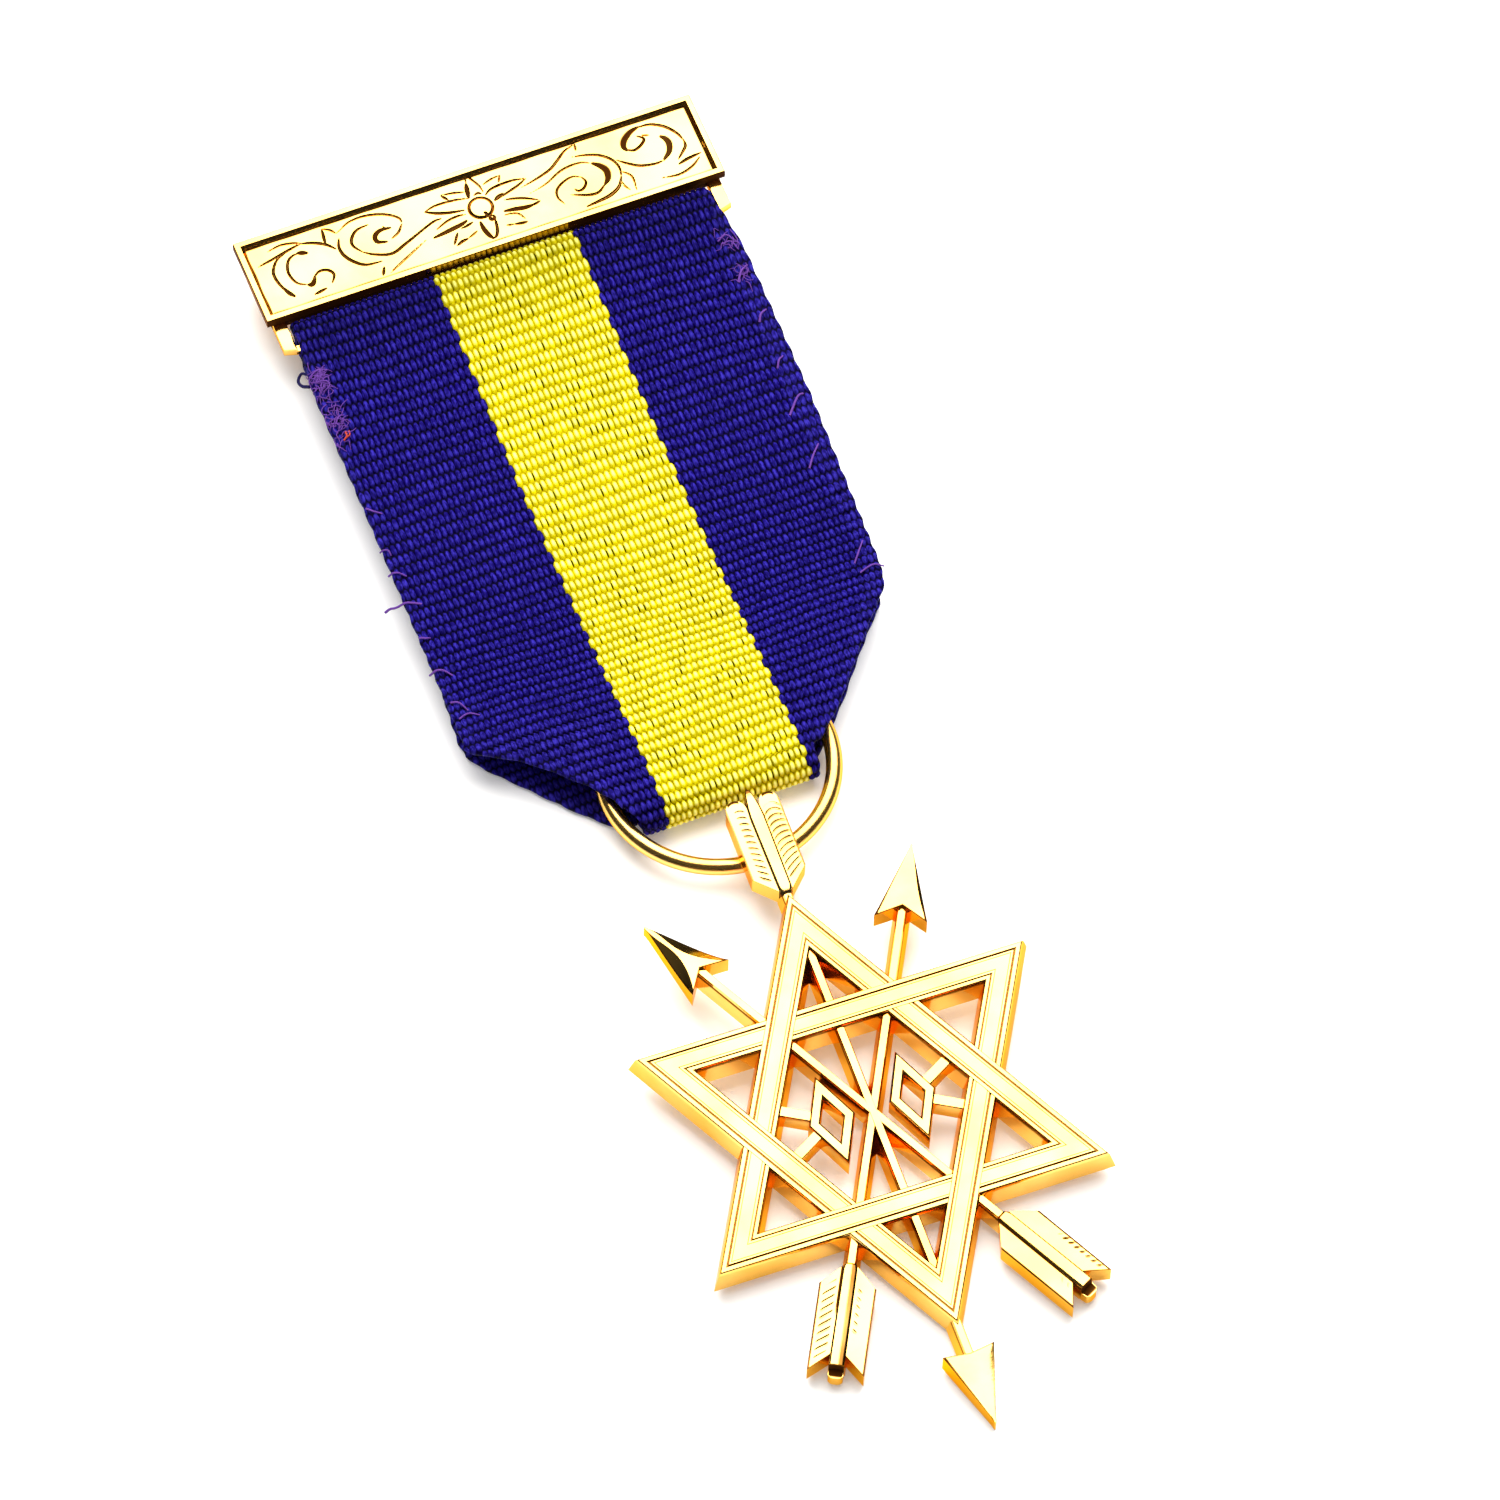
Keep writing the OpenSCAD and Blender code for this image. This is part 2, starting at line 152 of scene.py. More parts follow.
def loft(rings, soot_shade_dye=0.0):
    """A closed solid through rings of points, (ring, point, xyz), with a flat cap at each end."""
    count, size = rings.shape[:2]
    caps = [np.arange(size)[None, ::-1], (count - 1) * size + np.arange(size)[None]]
    return part(rings, [grid_faces(count, size, wrap_columns=True), *caps], soot_shade_dye)


def moved(one_part, place):
    """The part with each of its points put through the function place."""
    points, faces, soot_shade_dye = one_part
    return place(points), faces, soot_shade_dye


# %% A mesh object made of parts
def build(name, parts, material, sharp=35, extra=None):
    """One mesh object from parts in millimetres: points, faces, the attribute of each point's darkening
    value (soot, painted shade and dark reflection, or a thread's colour) and, in extra, other
    attributes by name. Each closed part gets its normals turned outwards."""
    starts = np.cumsum([0] + [len(p[0]) for p in parts[:-1]])
    points = np.concatenate([p[0] for p in parts]) * MM
    groups = [group + start for p, start in zip(parts, starts) for group in p[1]]
    sizes = np.concatenate([np.full(len(group), group.shape[1]) for group in groups])
    corners = np.concatenate([group.ravel() for group in groups])
    mesh = bpy.data.meshes.new(name)
    mesh.vertices.add(len(points))
    mesh.vertices.foreach_set("co", points.ravel())
    mesh.loops.add(len(corners))
    mesh.loops.foreach_set("vertex_index", corners.astype(np.int32))
    mesh.polygons.add(len(sizes))
    mesh.polygons.foreach_set("loop_start", (np.cumsum(sizes) - sizes).astype(np.int32))
    mesh.update(calc_edges=True)
    soot_shade_dye = mesh.attributes.new("soot_shade_dye", "FLOAT", "POINT")
    soot_shade_dye.data.foreach_set("value", np.concatenate([p[2] for p in parts]))
    for key, values in (extra or {}).items():
        attribute = mesh.attributes.new(key, "FLOAT_VECTOR", "POINT")
        attribute.data.foreach_set("vector", values.ravel())
    work = bmesh.new()
    work.from_mesh(mesh)
    bmesh.ops.recalc_face_normals(work, faces=work.faces)
    work.to_mesh(mesh)
    work.free()
    mesh.polygons.foreach_set("use_smooth", np.ones(len(mesh.polygons), bool))
    mesh.set_sharp_from_angle(angle=np.radians(sharp))
    mesh.validate()
    mesh.materials.append(material)
    piece = bpy.data.objects.new(name, mesh)
    bpy.context.scene.collection.objects.link(piece)
    print(name, "has", len(mesh.vertices), "points and", int((sizes - 2).sum()), "triangles")
    return piece


def hand_over(piece, slot, *nodes):
    """The piece rides on the one body and stands for its solids, which are hidden. The slot is not
    used.
    """
    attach(piece, "root")
    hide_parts(*nodes)


# %% Curves that the pieces share
def smooth_line(points, count):
    """A Catmull-Rom curve: between two points it is a cubic whose slope at each point is half
    the step from the point before to the point after. Gives count points, evenly in parameter."""
    p = np.asarray(points, float)
    p = np.concatenate([[2 * p[0] - p[1]], p, [2 * p[-1] - p[-2]]])
    along = np.linspace(0, len(p) - 3 - 1e-9, count)
    i = along.astype(int)
    t = (along - i)[:, None]
    a, b, c, d = p[i], p[i + 1], p[i + 2], p[i + 3]
    return b + 0.5 * t * (c - a + t * (2 * a - 5 * b + 4 * c - d + t * (3 * (b - c) + d - a)))


def arc_points(centre, radius, first, last, count):
    """Points round a centre at a radius, from a first to a last angle in degrees."""
    angle = np.radians(np.linspace(first, last, count))
    return np.stack([centre[0] + radius * np.cos(angle), centre[1] + radius * np.sin(angle)], -1)


def tube(path, radius, sides):
    """A round wire along a path: circles in the plane across the path's direction, with a flat
    end at each end. The radius may change along the path."""
    path = np.asarray(path, float)
    ahead = np.gradient(path, axis=0)
    ahead /= np.linalg.norm(ahead, axis=1, keepdims=True)
    spread = np.ptp(path, axis=0)
    up = np.eye(3)[np.argmin(spread)]
    side = np.cross(ahead, up)
    side /= np.linalg.norm(side, axis=1, keepdims=True)
    up = np.cross(side, ahead)
    turn = np.linspace(0, 2 * np.pi, sides, endpoint=False)
    radius = np.broadcast_to(radius, (len(path),))[:, None, None]
    circle = np.cos(turn)[None, :, None] * side[:, None] + np.sin(turn)[None, :, None] * up[:, None]
    return loft(path[:, None] + radius * circle)


def hoop(centre, radius, wire_r, around, sides, axis="z"):
    """A torus: a circle of the wire's radius carried round a centre, closed both ways. Its axis
    is z or x."""
    turn = np.linspace(0, 2 * np.pi, around, endpoint=False)[:, None]
    tilt = np.linspace(0, 2 * np.pi, sides, endpoint=False)[None]
    out = radius + wire_r * np.cos(tilt)
    points = [out * np.cos(turn), out * np.sin(turn), wire_r * np.sin(tilt) + 0 * turn]
    if axis == "x":
        points = [points[2], points[0], points[1]]
    return grid_part(np.stack(points, -1) + centre, closed=True)


# %% [markdown]
# ## The camera and the light
# The jewel was looked at from the side of the star, 60 degrees above the table and from far away.
# Its metal is a mirror, so it shows what stands round it: one very large soft light behind the bar
# makes the flat faces nearly white, and the dark room near the horizon draws the dark lines along
# bevels and walls, which painted shade and painted dark reflection in the metal's colour make stronger.
# A bright even sky would wash those lines out, so the room is kept dark.
# A weaker light overhead softens the shadows on the table, and the metal's mirrors leave it out.

# %% Camera at the viewing angle
LOOK_AT = np.array([2.387, 3.1305, 0.0])
TOWARDS_CAMERA = np.array([-0.18617, -0.47174, 0.86187])
CAMERA_DISTANCE = 800
SENSOR = 36
LENS = 282.215


def aim(thing, place, target):
    """Puts a camera or a light at a place and points it at a target, both in millimetres."""
    direction = Vector(target) - Vector(place)
    thing.location = Vector(place) * MM
    thing.rotation_mode = "QUATERNION"
    thing.rotation_quaternion = direction.to_track_quat("-Z", "Y")


camera_data = bpy.data.cameras.new("camera")
camera_data.lens = LENS
camera_data.sensor_width = SENSOR
camera_data.clip_start = 0.01
camera_data.clip_end = 10
camera = bpy.data.objects.new("camera", camera_data)
aim(camera, LOOK_AT + CAMERA_DISTANCE * TOWARDS_CAMERA, LOOK_AT)
bpy.context.scene.collection.objects.link(camera)
bpy.context.scene.camera = camera
bpy.context.scene.view_settings.view_transform = "Standard"
print("camera at", list(camera.location))

# %% One large soft light behind the bar
MIRRORED = TOWARDS_CAMERA * [-1, -1, 1]
KEY_DISTANCE = 600
KEY_SIZE = 760
KEY_POWER = 7.8

key_data = bpy.data.lights.new("soft_box", "AREA")
key_data.shape = "DISK"
key_data.size = KEY_SIZE * MM
key_data.energy = KEY_POWER
key_data.color = (1.0, 0.985, 0.96)
key = bpy.data.objects.new("soft_box", key_data)
aim(key, LOOK_AT + KEY_DISTANCE * MIRRORED, LOOK_AT)
bpy.context.scene.collection.objects.link(key)
print("soft box", KEY_SIZE, "mm wide at", list(key.location))

# %% A weak wide light that mirrors don't show
FILL_SIZE = 1600
FILL_HEIGHT = 600
FILL_POWER = 6.0

fill_data = bpy.data.lights.new("fill", "AREA")
fill_data.shape = "DISK"
fill_data.size = FILL_SIZE * MM
fill_data.energy = FILL_POWER
fill = bpy.data.objects.new("fill", fill_data)
fill.location = Vector(LOOK_AT + [0, 0, FILL_HEIGHT]) * MM
fill.visible_glossy = False
fill.visible_camera = False
bpy.context.scene.collection.objects.link(fill)
print("fill", FILL_SIZE, "mm wide,", FILL_POWER, "W")

# %% A dim room, darkest at the horizon
ROOM_TOP = 0.06
ROOM_LOW = 0.02

world = bpy.data.worlds.new("room")
world.use_nodes = True
bpy.context.scene.world = world
room = world.node_tree
room.nodes.clear()
direction = room.nodes.new("ShaderNodeTexCoord")
split = room.nodes.new("ShaderNodeSeparateXYZ")
ramp = room.nodes.new("ShaderNodeValToRGB")
ramp.color_ramp.elements[0].position = 0.25
ramp.color_ramp.elements[0].color = (ROOM_LOW, ROOM_LOW, ROOM_LOW, 1)
ramp.color_ramp.elements[1].position = 0.75
ramp.color_ramp.elements[1].color = (ROOM_TOP, ROOM_TOP, ROOM_TOP, 1)
glow = room.nodes.new("ShaderNodeBackground")
out = room.nodes.new("ShaderNodeOutputWorld")
room.links.new(direction.outputs["Generated"], split.inputs[0])
room.links.new(split.outputs["Z"], ramp.inputs[0])
room.links.new(ramp.outputs[0], glow.inputs["Color"])
room.links.new(glow.outputs[0], out.inputs["Surface"])
print("room from", ROOM_LOW, "at the horizon to", ROOM_TOP, "overhead")

# %% [markdown]
# ## Small helpers for node materials
# A finish is a small machine of nodes: it measures where a point lies, works out a pattern and
# feeds the shader. Placing nodes by hand in the editor is quick but can't be read later, so each
# finish here is a short function that names its steps.

# %% Node helpers
def new_material(name):
    """An empty material, its node tree and its main shader."""
    material = bpy.data.materials.new(name)
    material.use_nodes = True
    tree = material.node_tree
    shader = tree.nodes["Principled BSDF"]
    return material, tree, shader


def feed(tree, value, socket):
    """Links a socket to an input, or sets the input to a number or a colour."""
    if isinstance(value, bpy.types.NodeSocket):
        tree.links.new(value, socket)
    else:
        socket.default_value = value


def calc(tree, operation, first, second=None, third=None):
    """One math node. Its inputs are sockets or numbers."""
    step = tree.nodes.new("ShaderNodeMath")
    step.operation = operation
    for value, socket in zip((first, second, third), step.inputs):
        if value is not None:
            feed(tree, value, socket)
    return step.outputs[0]


def soft_step(tree, value, low, high):
    """0 below low, 1 above high and a smooth rise between them. If low is the larger of the two,
    it falls from 1 to 0 instead."""
    step = tree.nodes.new("ShaderNodeMapRange")
    step.interpolation_type = "SMOOTHSTEP"
    feed(tree, value, step.inputs["Value"])
    feed(tree, low, step.inputs["From Min"])
    feed(tree, high, step.inputs["From Max"])
    return step.outputs["Result"]


def blend(tree, share, first, second, mode="MIX"):
    """Mixes two colours by a share."""
    step = tree.nodes.new("ShaderNodeMix")
    step.data_type = "RGBA"
    step.blend_type = mode
    feed(tree, share, step.inputs["Factor"])
    feed(tree, first, step.inputs["A"])
    feed(tree, second, step.inputs["B"])
    return step.outputs["Result"]


def attribute(tree, name, output):
    """An attribute of the piece's own mesh."""
    reader = tree.nodes.new("ShaderNodeAttribute")
    reader.attribute_name = name
    return reader.outputs[output]


def noise(tree, vector, scale, detail):
    """Noise of so many grains to the unit, from 0 to 1."""
    step = tree.nodes.new("ShaderNodeTexNoise")
    feed(tree, vector, step.inputs["Vector"])
    step.inputs["Scale"].default_value = scale
    step.inputs["Detail"].default_value = detail
    return step.outputs["Fac"]


def object_place(tree):
    """The point's own place, in metres."""
    return tree.nodes.new("ShaderNodeTexCoord").outputs["Object"]


def bump(tree, height, depth, strength):
    """Turns a height from 0 to 1 into a leaning normal, as if it were depth metres deep."""
    step = tree.nodes.new("ShaderNodeBump")
    step.inputs["Strength"].default_value = strength
    step.inputs["Distance"].default_value = depth
    feed(tree, height, step.inputs["Height"])
    return step.outputs["Normal"]


# %% [markdown]
# ## Gilt metal
# The bar, ring and star are base metal with a thin bright gold plate, polished on the flats. A yellow
# diffuse colour would look like plastic, so the shader is all metal: its colour tints what it mirrors.
# Light that bounces twice is tinted twice, which turns the inner walls orange by itself. Polishing soot
# stays in the engraved lines, and a value on each point darkens them; the same value also paints shade
# and dark reflections onto walls, edges, the slot and the sides of the ridges, in brown and matt black.

# %% The gilt finish
GOLD = (1.0, 0.62, 0.17, 1)
GOLD_DEEP = (1.0, 0.56, 0.115, 1)
# Brown and black: soot in the engraved cuts, and painted shade and painted dark reflection on walls,
# edges and the slot
BROWN = (0.15, 0.06, 0.009, 1)
SOOT_SHADE = (0.05, 0.013, 0.001, 1)
# Colour of the weak sheen of the parts that aren't metal: the soot and the painted shade
SHEEN = (1.0, 0.55, 0.2, 1)
# Clouds and grains to the metre, and the depth of a hair line in metres
CLOUDS_PER_M = 180
GRAINS_PER_M = 4200
HAIR_LINE_D = 0.00004


def gilt_finish(name, polish):
    """Gold with cloudy changes of polish and hair lines. Where a point's darkening value is higher it
    goes brown, and at the highest it is black, matt and not metal: sooty dirt in the engraved cuts, and
    painted shade and painted dark reflection on walls, edges, the slot and the sides of the ridges."""
    material, tree, shader = new_material(name)
    place = object_place(tree)
    clouds = noise(tree, place, CLOUDS_PER_M, 4)
    grain = noise(tree, place, GRAINS_PER_M, 2)
    soot_shade_dye = attribute(tree, "soot_shade_dye", "Fac")
    tint = blend(tree, soft_step(tree, clouds, 0.35, 0.7), GOLD, GOLD_DEEP)
    # Soot in the cuts and painted shade, varied by the clouds
    soot_shade_level = calc(tree, "MULTIPLY", soot_shade_dye, calc(tree, "ADD", 0.6, calc(tree, "MULTIPLY", clouds, 0.7)))
    soot_and_shade = soft_step(tree, soot_shade_level, 0.64, 0.92)
    tint = blend(tree, soft_step(tree, soot_shade_level, 0.1, 0.5), tint, BROWN)
    tint = blend(tree, soot_and_shade, tint, SOOT_SHADE)
    tree.links.new(tint, shader.inputs["Base Color"])
    tree.links.new(calc(tree, "SUBTRACT", 1.0, soot_and_shade), shader.inputs["Metallic"])
    shader.inputs["Specular IOR Level"].default_value = 0.03
    shader.inputs["Specular Tint"].default_value = SHEEN
    rough = calc(tree, "MULTIPLY_ADD", clouds, 0.10, polish)
    rough = calc(tree, "MULTIPLY_ADD", soot_shade_dye, 0.15, rough)
    rough = calc(tree, "MULTIPLY_ADD", soot_and_shade, 0.4, rough)
    tree.links.new(rough, shader.inputs["Roughness"])
    height = calc(tree, "MULTIPLY_ADD", grain, 0.25, clouds)
    tree.links.new(bump(tree, height, HAIR_LINE_D, 0.35), shader.inputs["Normal"])
    return material


gilt = gilt_finish("gilt_metal", 0.07)
ring_gilt = gilt_finish("ring_gilt", 0.2)
wire_gilt = gilt_finish("pin_wire", 0.14)
print("gilt finishes:", gilt.name, ring_gilt.name, wire_gilt.name)

# %% [markdown]
# ## The engraved plate
# The plate is struck with a raised rim and cut by hand with a graver: a flower in the middle and
# scrolls that run out to both ends. One could carve it with booleans, one for each cut. Here the
# face is a single fine grid. Its height is the rim's profile plus two beads, less the deepest of
# the furrows at each point, and a furrow's depth falls off as a bell curve of the distance from
# its cut.

# %% Lines of the plate's grid
RIM_FLAT = 0.4
RIM_RUN = 0.27
FIELD_D = 0.4
PLATE_T = 0.75
EDGE_R = 0.07
FIELD_STEP = 0.052


def rim_steps():
    """Distances from the plate's edge at which the rim changes: its rounding, flat and slope."""
    rounding = EDGE_R * (1 - np.cos(np.radians([0, 30, 60, 90])))
    slope = RIM_FLAT + RIM_RUN * np.array([0, 0.1, 0.5, 0.9, 1.0])
    return np.concatenate([rounding, slope])


def plate_lines(length):
    """Grid lines along one side: the rim's steps at both ends and even steps in the field."""
    half = length / 2
    rim = half - rim_steps()
    inner = half - RIM_FLAT - RIM_RUN
    field = np.linspace(-inner, inner, int(2 * inner / FIELD_STEP) + 1)
    return np.concatenate([-rim[:-1], field, rim[-2::-1]])


plate_x, plate_y = np.meshgrid(plate_lines(BAR_W), plate_lines(BAR_H))
print("plate grid", plate_x.shape)

# %% The rim's profile
def rim_height(inside):
    """Height by the distance to the nearest edge: a quarter round, a flat rim, a slope down to
    the field. Corners are mitred because the nearest edge decides."""
    short = np.clip(1 - inside / EDGE_R, 0, 1)
    rounding = EDGE_R * (1 - np.sqrt(1 - short**2))
    share = np.clip((inside - RIM_FLAT) / RIM_RUN, 0, 1)
    return FACE_Z - rounding - FIELD_D * share


plate_inside = np.minimum(BAR_W / 2 - np.abs(plate_x), BAR_H / 2 - np.abs(plate_y))
plate_z = rim_height(plate_inside)
print("field", plate_z.min(), "rim", plate_z.max())

# %% Beads of the flower
# Each bead: its middle, across and up, and its radius
BEADS = [(0.17, 0.18, 0.84), (0.62, -0.88, 0.17)]
BEAD_RISE = 0.1
BEAD_LINE_W = 0.07
BEAD_SOOT = 0.85

bead_dome = np.zeros_like(plate_x)
bead_line = np.zeros_like(plate_x)
for bead_x, bead_y, bead_r in BEADS:
    away = np.hypot(plate_x - bead_x, plate_y - bead_y)
    bead_dome = np.maximum(bead_dome, np.sqrt(np.clip(1 - (away / bead_r) ** 2, 0, 1)))
    bead_line = np.maximum(bead_line, BEAD_SOOT * np.exp(-(((away - bead_r) / BEAD_LINE_W) ** 2)))
print("beads", len(BEADS), "highest", bead_dome.max() * BEAD_RISE)

# %% Cuts of the flower
# Each cut: its greatest width, how dark it is from 0 to 1, then points along it. The graver's
# thick cuts are the deepest and darkest, and no two petals are quite alike.
FLOWER_CUTS = [
    (0.2, 1.0, [(-0.1, 2.4), (-0.2, 1.9), (-0.33, 1.25)]),
    (0.09, 0.5, [(-0.12, 2.35), (0.12, 3.02), (0.35, 2.7), (0.72, 1.9), (0.8, 1.3)]),
    (0.09, 0.6, [(0.1, 1.3), (0.4, 1.4), (0.62, 1.25)]),
    (0.09, 0.5, [(-2.06, 2.15), (-1.2, 2.02), (-0.4, 1.8)]),
    (0.11, 0.7, [(-2.06, 2.15), (-1.9, 1.9), (-1.7, 1.58)]),
    (0.1, 0.55, [(-0.3, 1.22), (-1.4, 1.45), (-2.7, 1.5), (-3.55, 1.3)]),
    (0.13, 0.85, [(-3.6, 1.28), (-2.9, 0.9), (-2.0, 0.6), (-0.95, 0.4)]),
    (0.1, 0.5, [(-1.0, 0.06), (-1.6, 0.12), (-2.4, 0), (-3.4, -0.42)]),
    (0.2, 0.9, [(-3.75, -0.96), (-3.0, -0.85), (-2.2, -0.72), (-1.5, -0.6), (-1.1, -0.45)]),
    (0.1, 0.8, [(-1.7, -0.95), (-1.2, -0.85), (-0.75, -0.72)]),
    (0.1, 0.6, [(-2.06, -1.15), (-2.35, -1.6), (-2.6, -2.0)]),
    (0.13, 0.7, [(-2.44, -2.15), (-2.0, -1.95), (-1.56, -1.88)]),
    (0.08, 0.35, [(-1.5, -1.85), (-1.1, -1.7), (-0.7, -1.5)]),
    (0.2, 1.0, [(-0.28, -0.9), (-0.25, -1.5), (-0.1, -2.1), (0.1, -2.5)]),
    (0.12, 0.8, [(0.1, -2.5), (0.35, -2.4), (0.58, -2.0), (0.72, -1.4), (0.75, -1.0)]),
    (0.13, 0.9, [(0.25, -0.3), (0.35, -0.45), (0.32, -0.6)]),
    (0.08, 0.45, [(0.95, 1.9), (1.7, 2.15), (2.35, 2.22)]),
    (0.08, 0.45, [(2.35, 2.22), (2.2, 1.95), (2.08, 1.7)]),
    (0.11, 0.7, [(0.85, 1.05), (1.3, 1.35), (2.0, 1.48), (3.0, 1.5), (3.94, 1.32)]),
    (0.1, 0.6, [(3.94, 1.32), (3.3, 1.0), (2.4, 0.7), (1.55, 0.42)]),
    (0.18, 0.85, [(1.3, 0.4), (1.65, 0.6), (2.05, 0.7)]),
    (0.1, 0.6, [(1.9, 0.2), (2.6, 0.05), (3.4, -0.25), (4.2, -0.72)]),
    (0.2, 1.0, [(1.6, -0.68), (2.3, -0.78), (3.1, -0.92), (3.7, -0.92)]),
    (0.1, 0.6, [(3.4, -0.95), (3.9, -0.88), (4.25, -0.75)]),
    (0.08, 0.4, [(1.5, -1.0), (2.0, -1.05), (2.45, -1.25), (2.8, -1.9)]),
    (0.12, 0.8, [(1.9, -1.95), (2.4, -2.05), (2.8, -2.08)]),
    (0.08, 0.4, [(1.3, -1.8), (1.6, -1.9), (1.9, -1.95)]),
]
print("cuts in the flower", len(FLOWER_CUTS))

# %% Cuts of the scroll on the right
RIGHT_CUTS = [
    (0.12, 0.6, [(3.44, 0.73), (4.6, 1.0), (5.75, 1.38), (6.5, 1.88), (7.25, 2.44), (8.0, 2.71)]),
    (0.09, 0.4, [(8.12, 2.75), (8.08, 2.45), (8.02, 2.19)]),
    (0.1, 0.45, [(3.75, 0.03), (5.1, 0.38), (6.25, 0.94), (7.1, 1.15), (8.0, 1.13), (8.6, 0.85)]),
    (0.3, 1.0, [(8.7, 0.8), (9.15, 0.4), (9.42, -0.12), (9.3, -0.75), (8.94, -1.15)]),
    (0.12, 0.65, [(8.94, -1.15), (8.25, -1.62), (7.5, -1.56), (6.38, -1.1)]),
    (0.12, 0.55, [(7.6, 1.78), (8.5, 1.6), (9.38, 1.25), (10.1, 0.56), (10.35, -0.25), (10.2, -1.0)]),
    (0.17, 0.7, [(10.2, -1.0), (9.75, -1.7), (9.0, -2.12), (8.1, -2.3), (7.06, -2.44)]),
    (0.1, 0.55, [(5.75, -1.75), (5.47, -1.0), (5.63, -0.38), (6.25, 0.06), (7.0, 0.25), (7.6, 0)]),
    (0.11, 0.6, [(7.6, 0), (7.75, -0.5), (7.4, -0.94), (7.0, -1.0), (6.8, -0.75)]),
    (0.12, 0.6, [(10.35, 0.44), (11.0, -0.12), (11.75, -0.62), (12.75, -0.85), (13.5, -0.81)]),
    (0.28, 1.0, [(13.5, -0.75), (14.06, -0.25), (14.3, 0.38), (14.2, 0.85), (13.94, 1.15)]),
    (0.28, 1.0, [(11.35, 0.9), (11.25, 1.3), (11.5, 1.8), (12.1, 2.25), (12.75, 2.44)]),
    (0.13, 0.65, [(12.6, 2.42), (13.6, 2.34), (14.5, 1.8), (15.1, 1.0), (15.35, 0.25)]),
    (0.12, 0.55, [(15.35, 0.25), (15.3, -0.2), (15.0, -0.56), (14.4, -1.12)]),
    (0.12, 0.7, [(11.3, 1.0), (11.8, 0.73), (12.4, 0.94), (12.8, 1.38), (12.4, 1.78)]),
    (0.08, 0.35, [(12.75, 1.69), (13.0, 1.6), (13.25, 1.52)]),
    (0.13, 0.85, [(14.3, -1.5), (15.0, -1.3), (16.06, -1.15)]),
    (0.1, 0.55, [(15.9, -1.44), (15.1, -2.0), (14.0, -2.3), (12.75, -2.12)]),
    (0.08, 0.4, [(10.35, -0.56), (10.9, -1.25), (10.8, -2.44)]),
    (0.08, 0.3, [(10.06, -1.3), (10.15, -1.8), (10.4, -2.25)]),
]
print("cuts in the right scroll", len(RIGHT_CUTS))

# %% Cuts of the scroll on the left
LEFT_CUTS = [
    (0.12, 0.65, [(-15.94, 1.25), (-14.75, 1.5), (-13.5, 1.8), (-12.5, 2.0)]),
    (0.1, 0.45, [(-14.94, 2.19), (-13.9, 2.38), (-13.0, 2.22), (-12.5, 2.0)]),
    (0.13, 0.75, [(-12.6, 2.0), (-11.75, 1.75), (-10.94, 1.3), (-10.4, 0.69)]),
    (0.12, 0.85, [(-10.94, 1.3), (-10.85, 1.9), (-10.75, 2.56)]),
    (0.09, 0.4, [(-10.75, 2.6), (-10.25, 2.3), (-9.94, 1.88)]),
    (0.12, 0.65, [
        (-14.38, -1.94), (-14.8, -1.25), (-15.1, -0.38), (-15.1, 0.5), (-14.56, 1.3), (-13.9, 1.6),
    ]),
    (0.11, 0.65, [
        (-12.8, 1.32), (-13.4, 1.25), (-13.88, 0.88), (-14.15, 0), (-13.88, -0.94), (-13.2, -1.38),
    ]),
    (0.19, 1.0, [(-13.0, 1.35), (-12.7, 1.25), (-12.35, 1.1)]),
    (0.22, 1.0, [(-13.2, -1.38), (-12.9, -1.42), (-12.55, -1.0)]),
    (0.12, 0.75, [(-12.7, -1.0), (-12.1, -0.62), (-11.5, -0.76), (-11.25, -1.25), (-11.6, -1.85)]),
    (0.12, 0.7, [(-13.06, -2.3), (-12.6, -2.2), (-12.1, -2.1)]),
    (0.16, 0.95, [(-14.38, -1.94), (-14.66, -1.55), (-14.9, -1.0)]),
    (0.14, 0.85, [
        (-9.9, 1.44), (-10.15, 0.75), (-10.06, 0), (-9.6, -0.75), (-8.9, -1.3), (-7.75, -1.44),
    ]),
    (0.12, 0.55, [(-9.9, 1.9), (-8.75, 2.45), (-7.5, 2.5), (-6.25, 2.12), (-5.44, 1.5), (-5.38, 1.0)]),
    (0.1, 0.4, [(-5.38, 1.0), (-5.88, 0.38), (-6.5, 0.06)]),
    (0.12, 0.75, [(-7.6, 1.75), (-8.5, 1.62), (-9.06, 1.12), (-9.2, 0.5), (-8.75, -0.25)]),
    (0.13, 0.8, [
        (-8.75, -0.25), (-8.0, -0.75), (-6.88, -1.09), (-5.6, -0.62), (-3.5, 0.25), (-2.7, 0.36),
    ]),
    (0.2, 0.95, [(-6.25, 0.94), (-7.0, 1.0), (-7.5, 0.69), (-7.5, 0.19), (-6.88, -0.06)]),
    (0.1, 0.6, [(-6.3, 0.95), (-6.65, 1.02), (-6.72, 1.22)]),
    (0.1, 0.35, [(-7.6, -2.56), (-6.25, -1.88), (-4.25, -0.88)]),
    (0.11, 0.8, [(-8.1, -2.56), (-7.95, -2.25), (-7.8, -1.94)]),
]
print("cuts in the left scroll", len(LEFT_CUTS))

# %% Cut the furrows
CUTS = FLOWER_CUTS + RIGHT_CUTS + LEFT_CUTS
CUT_D = 0.11
CUT_SAMPLES = 70


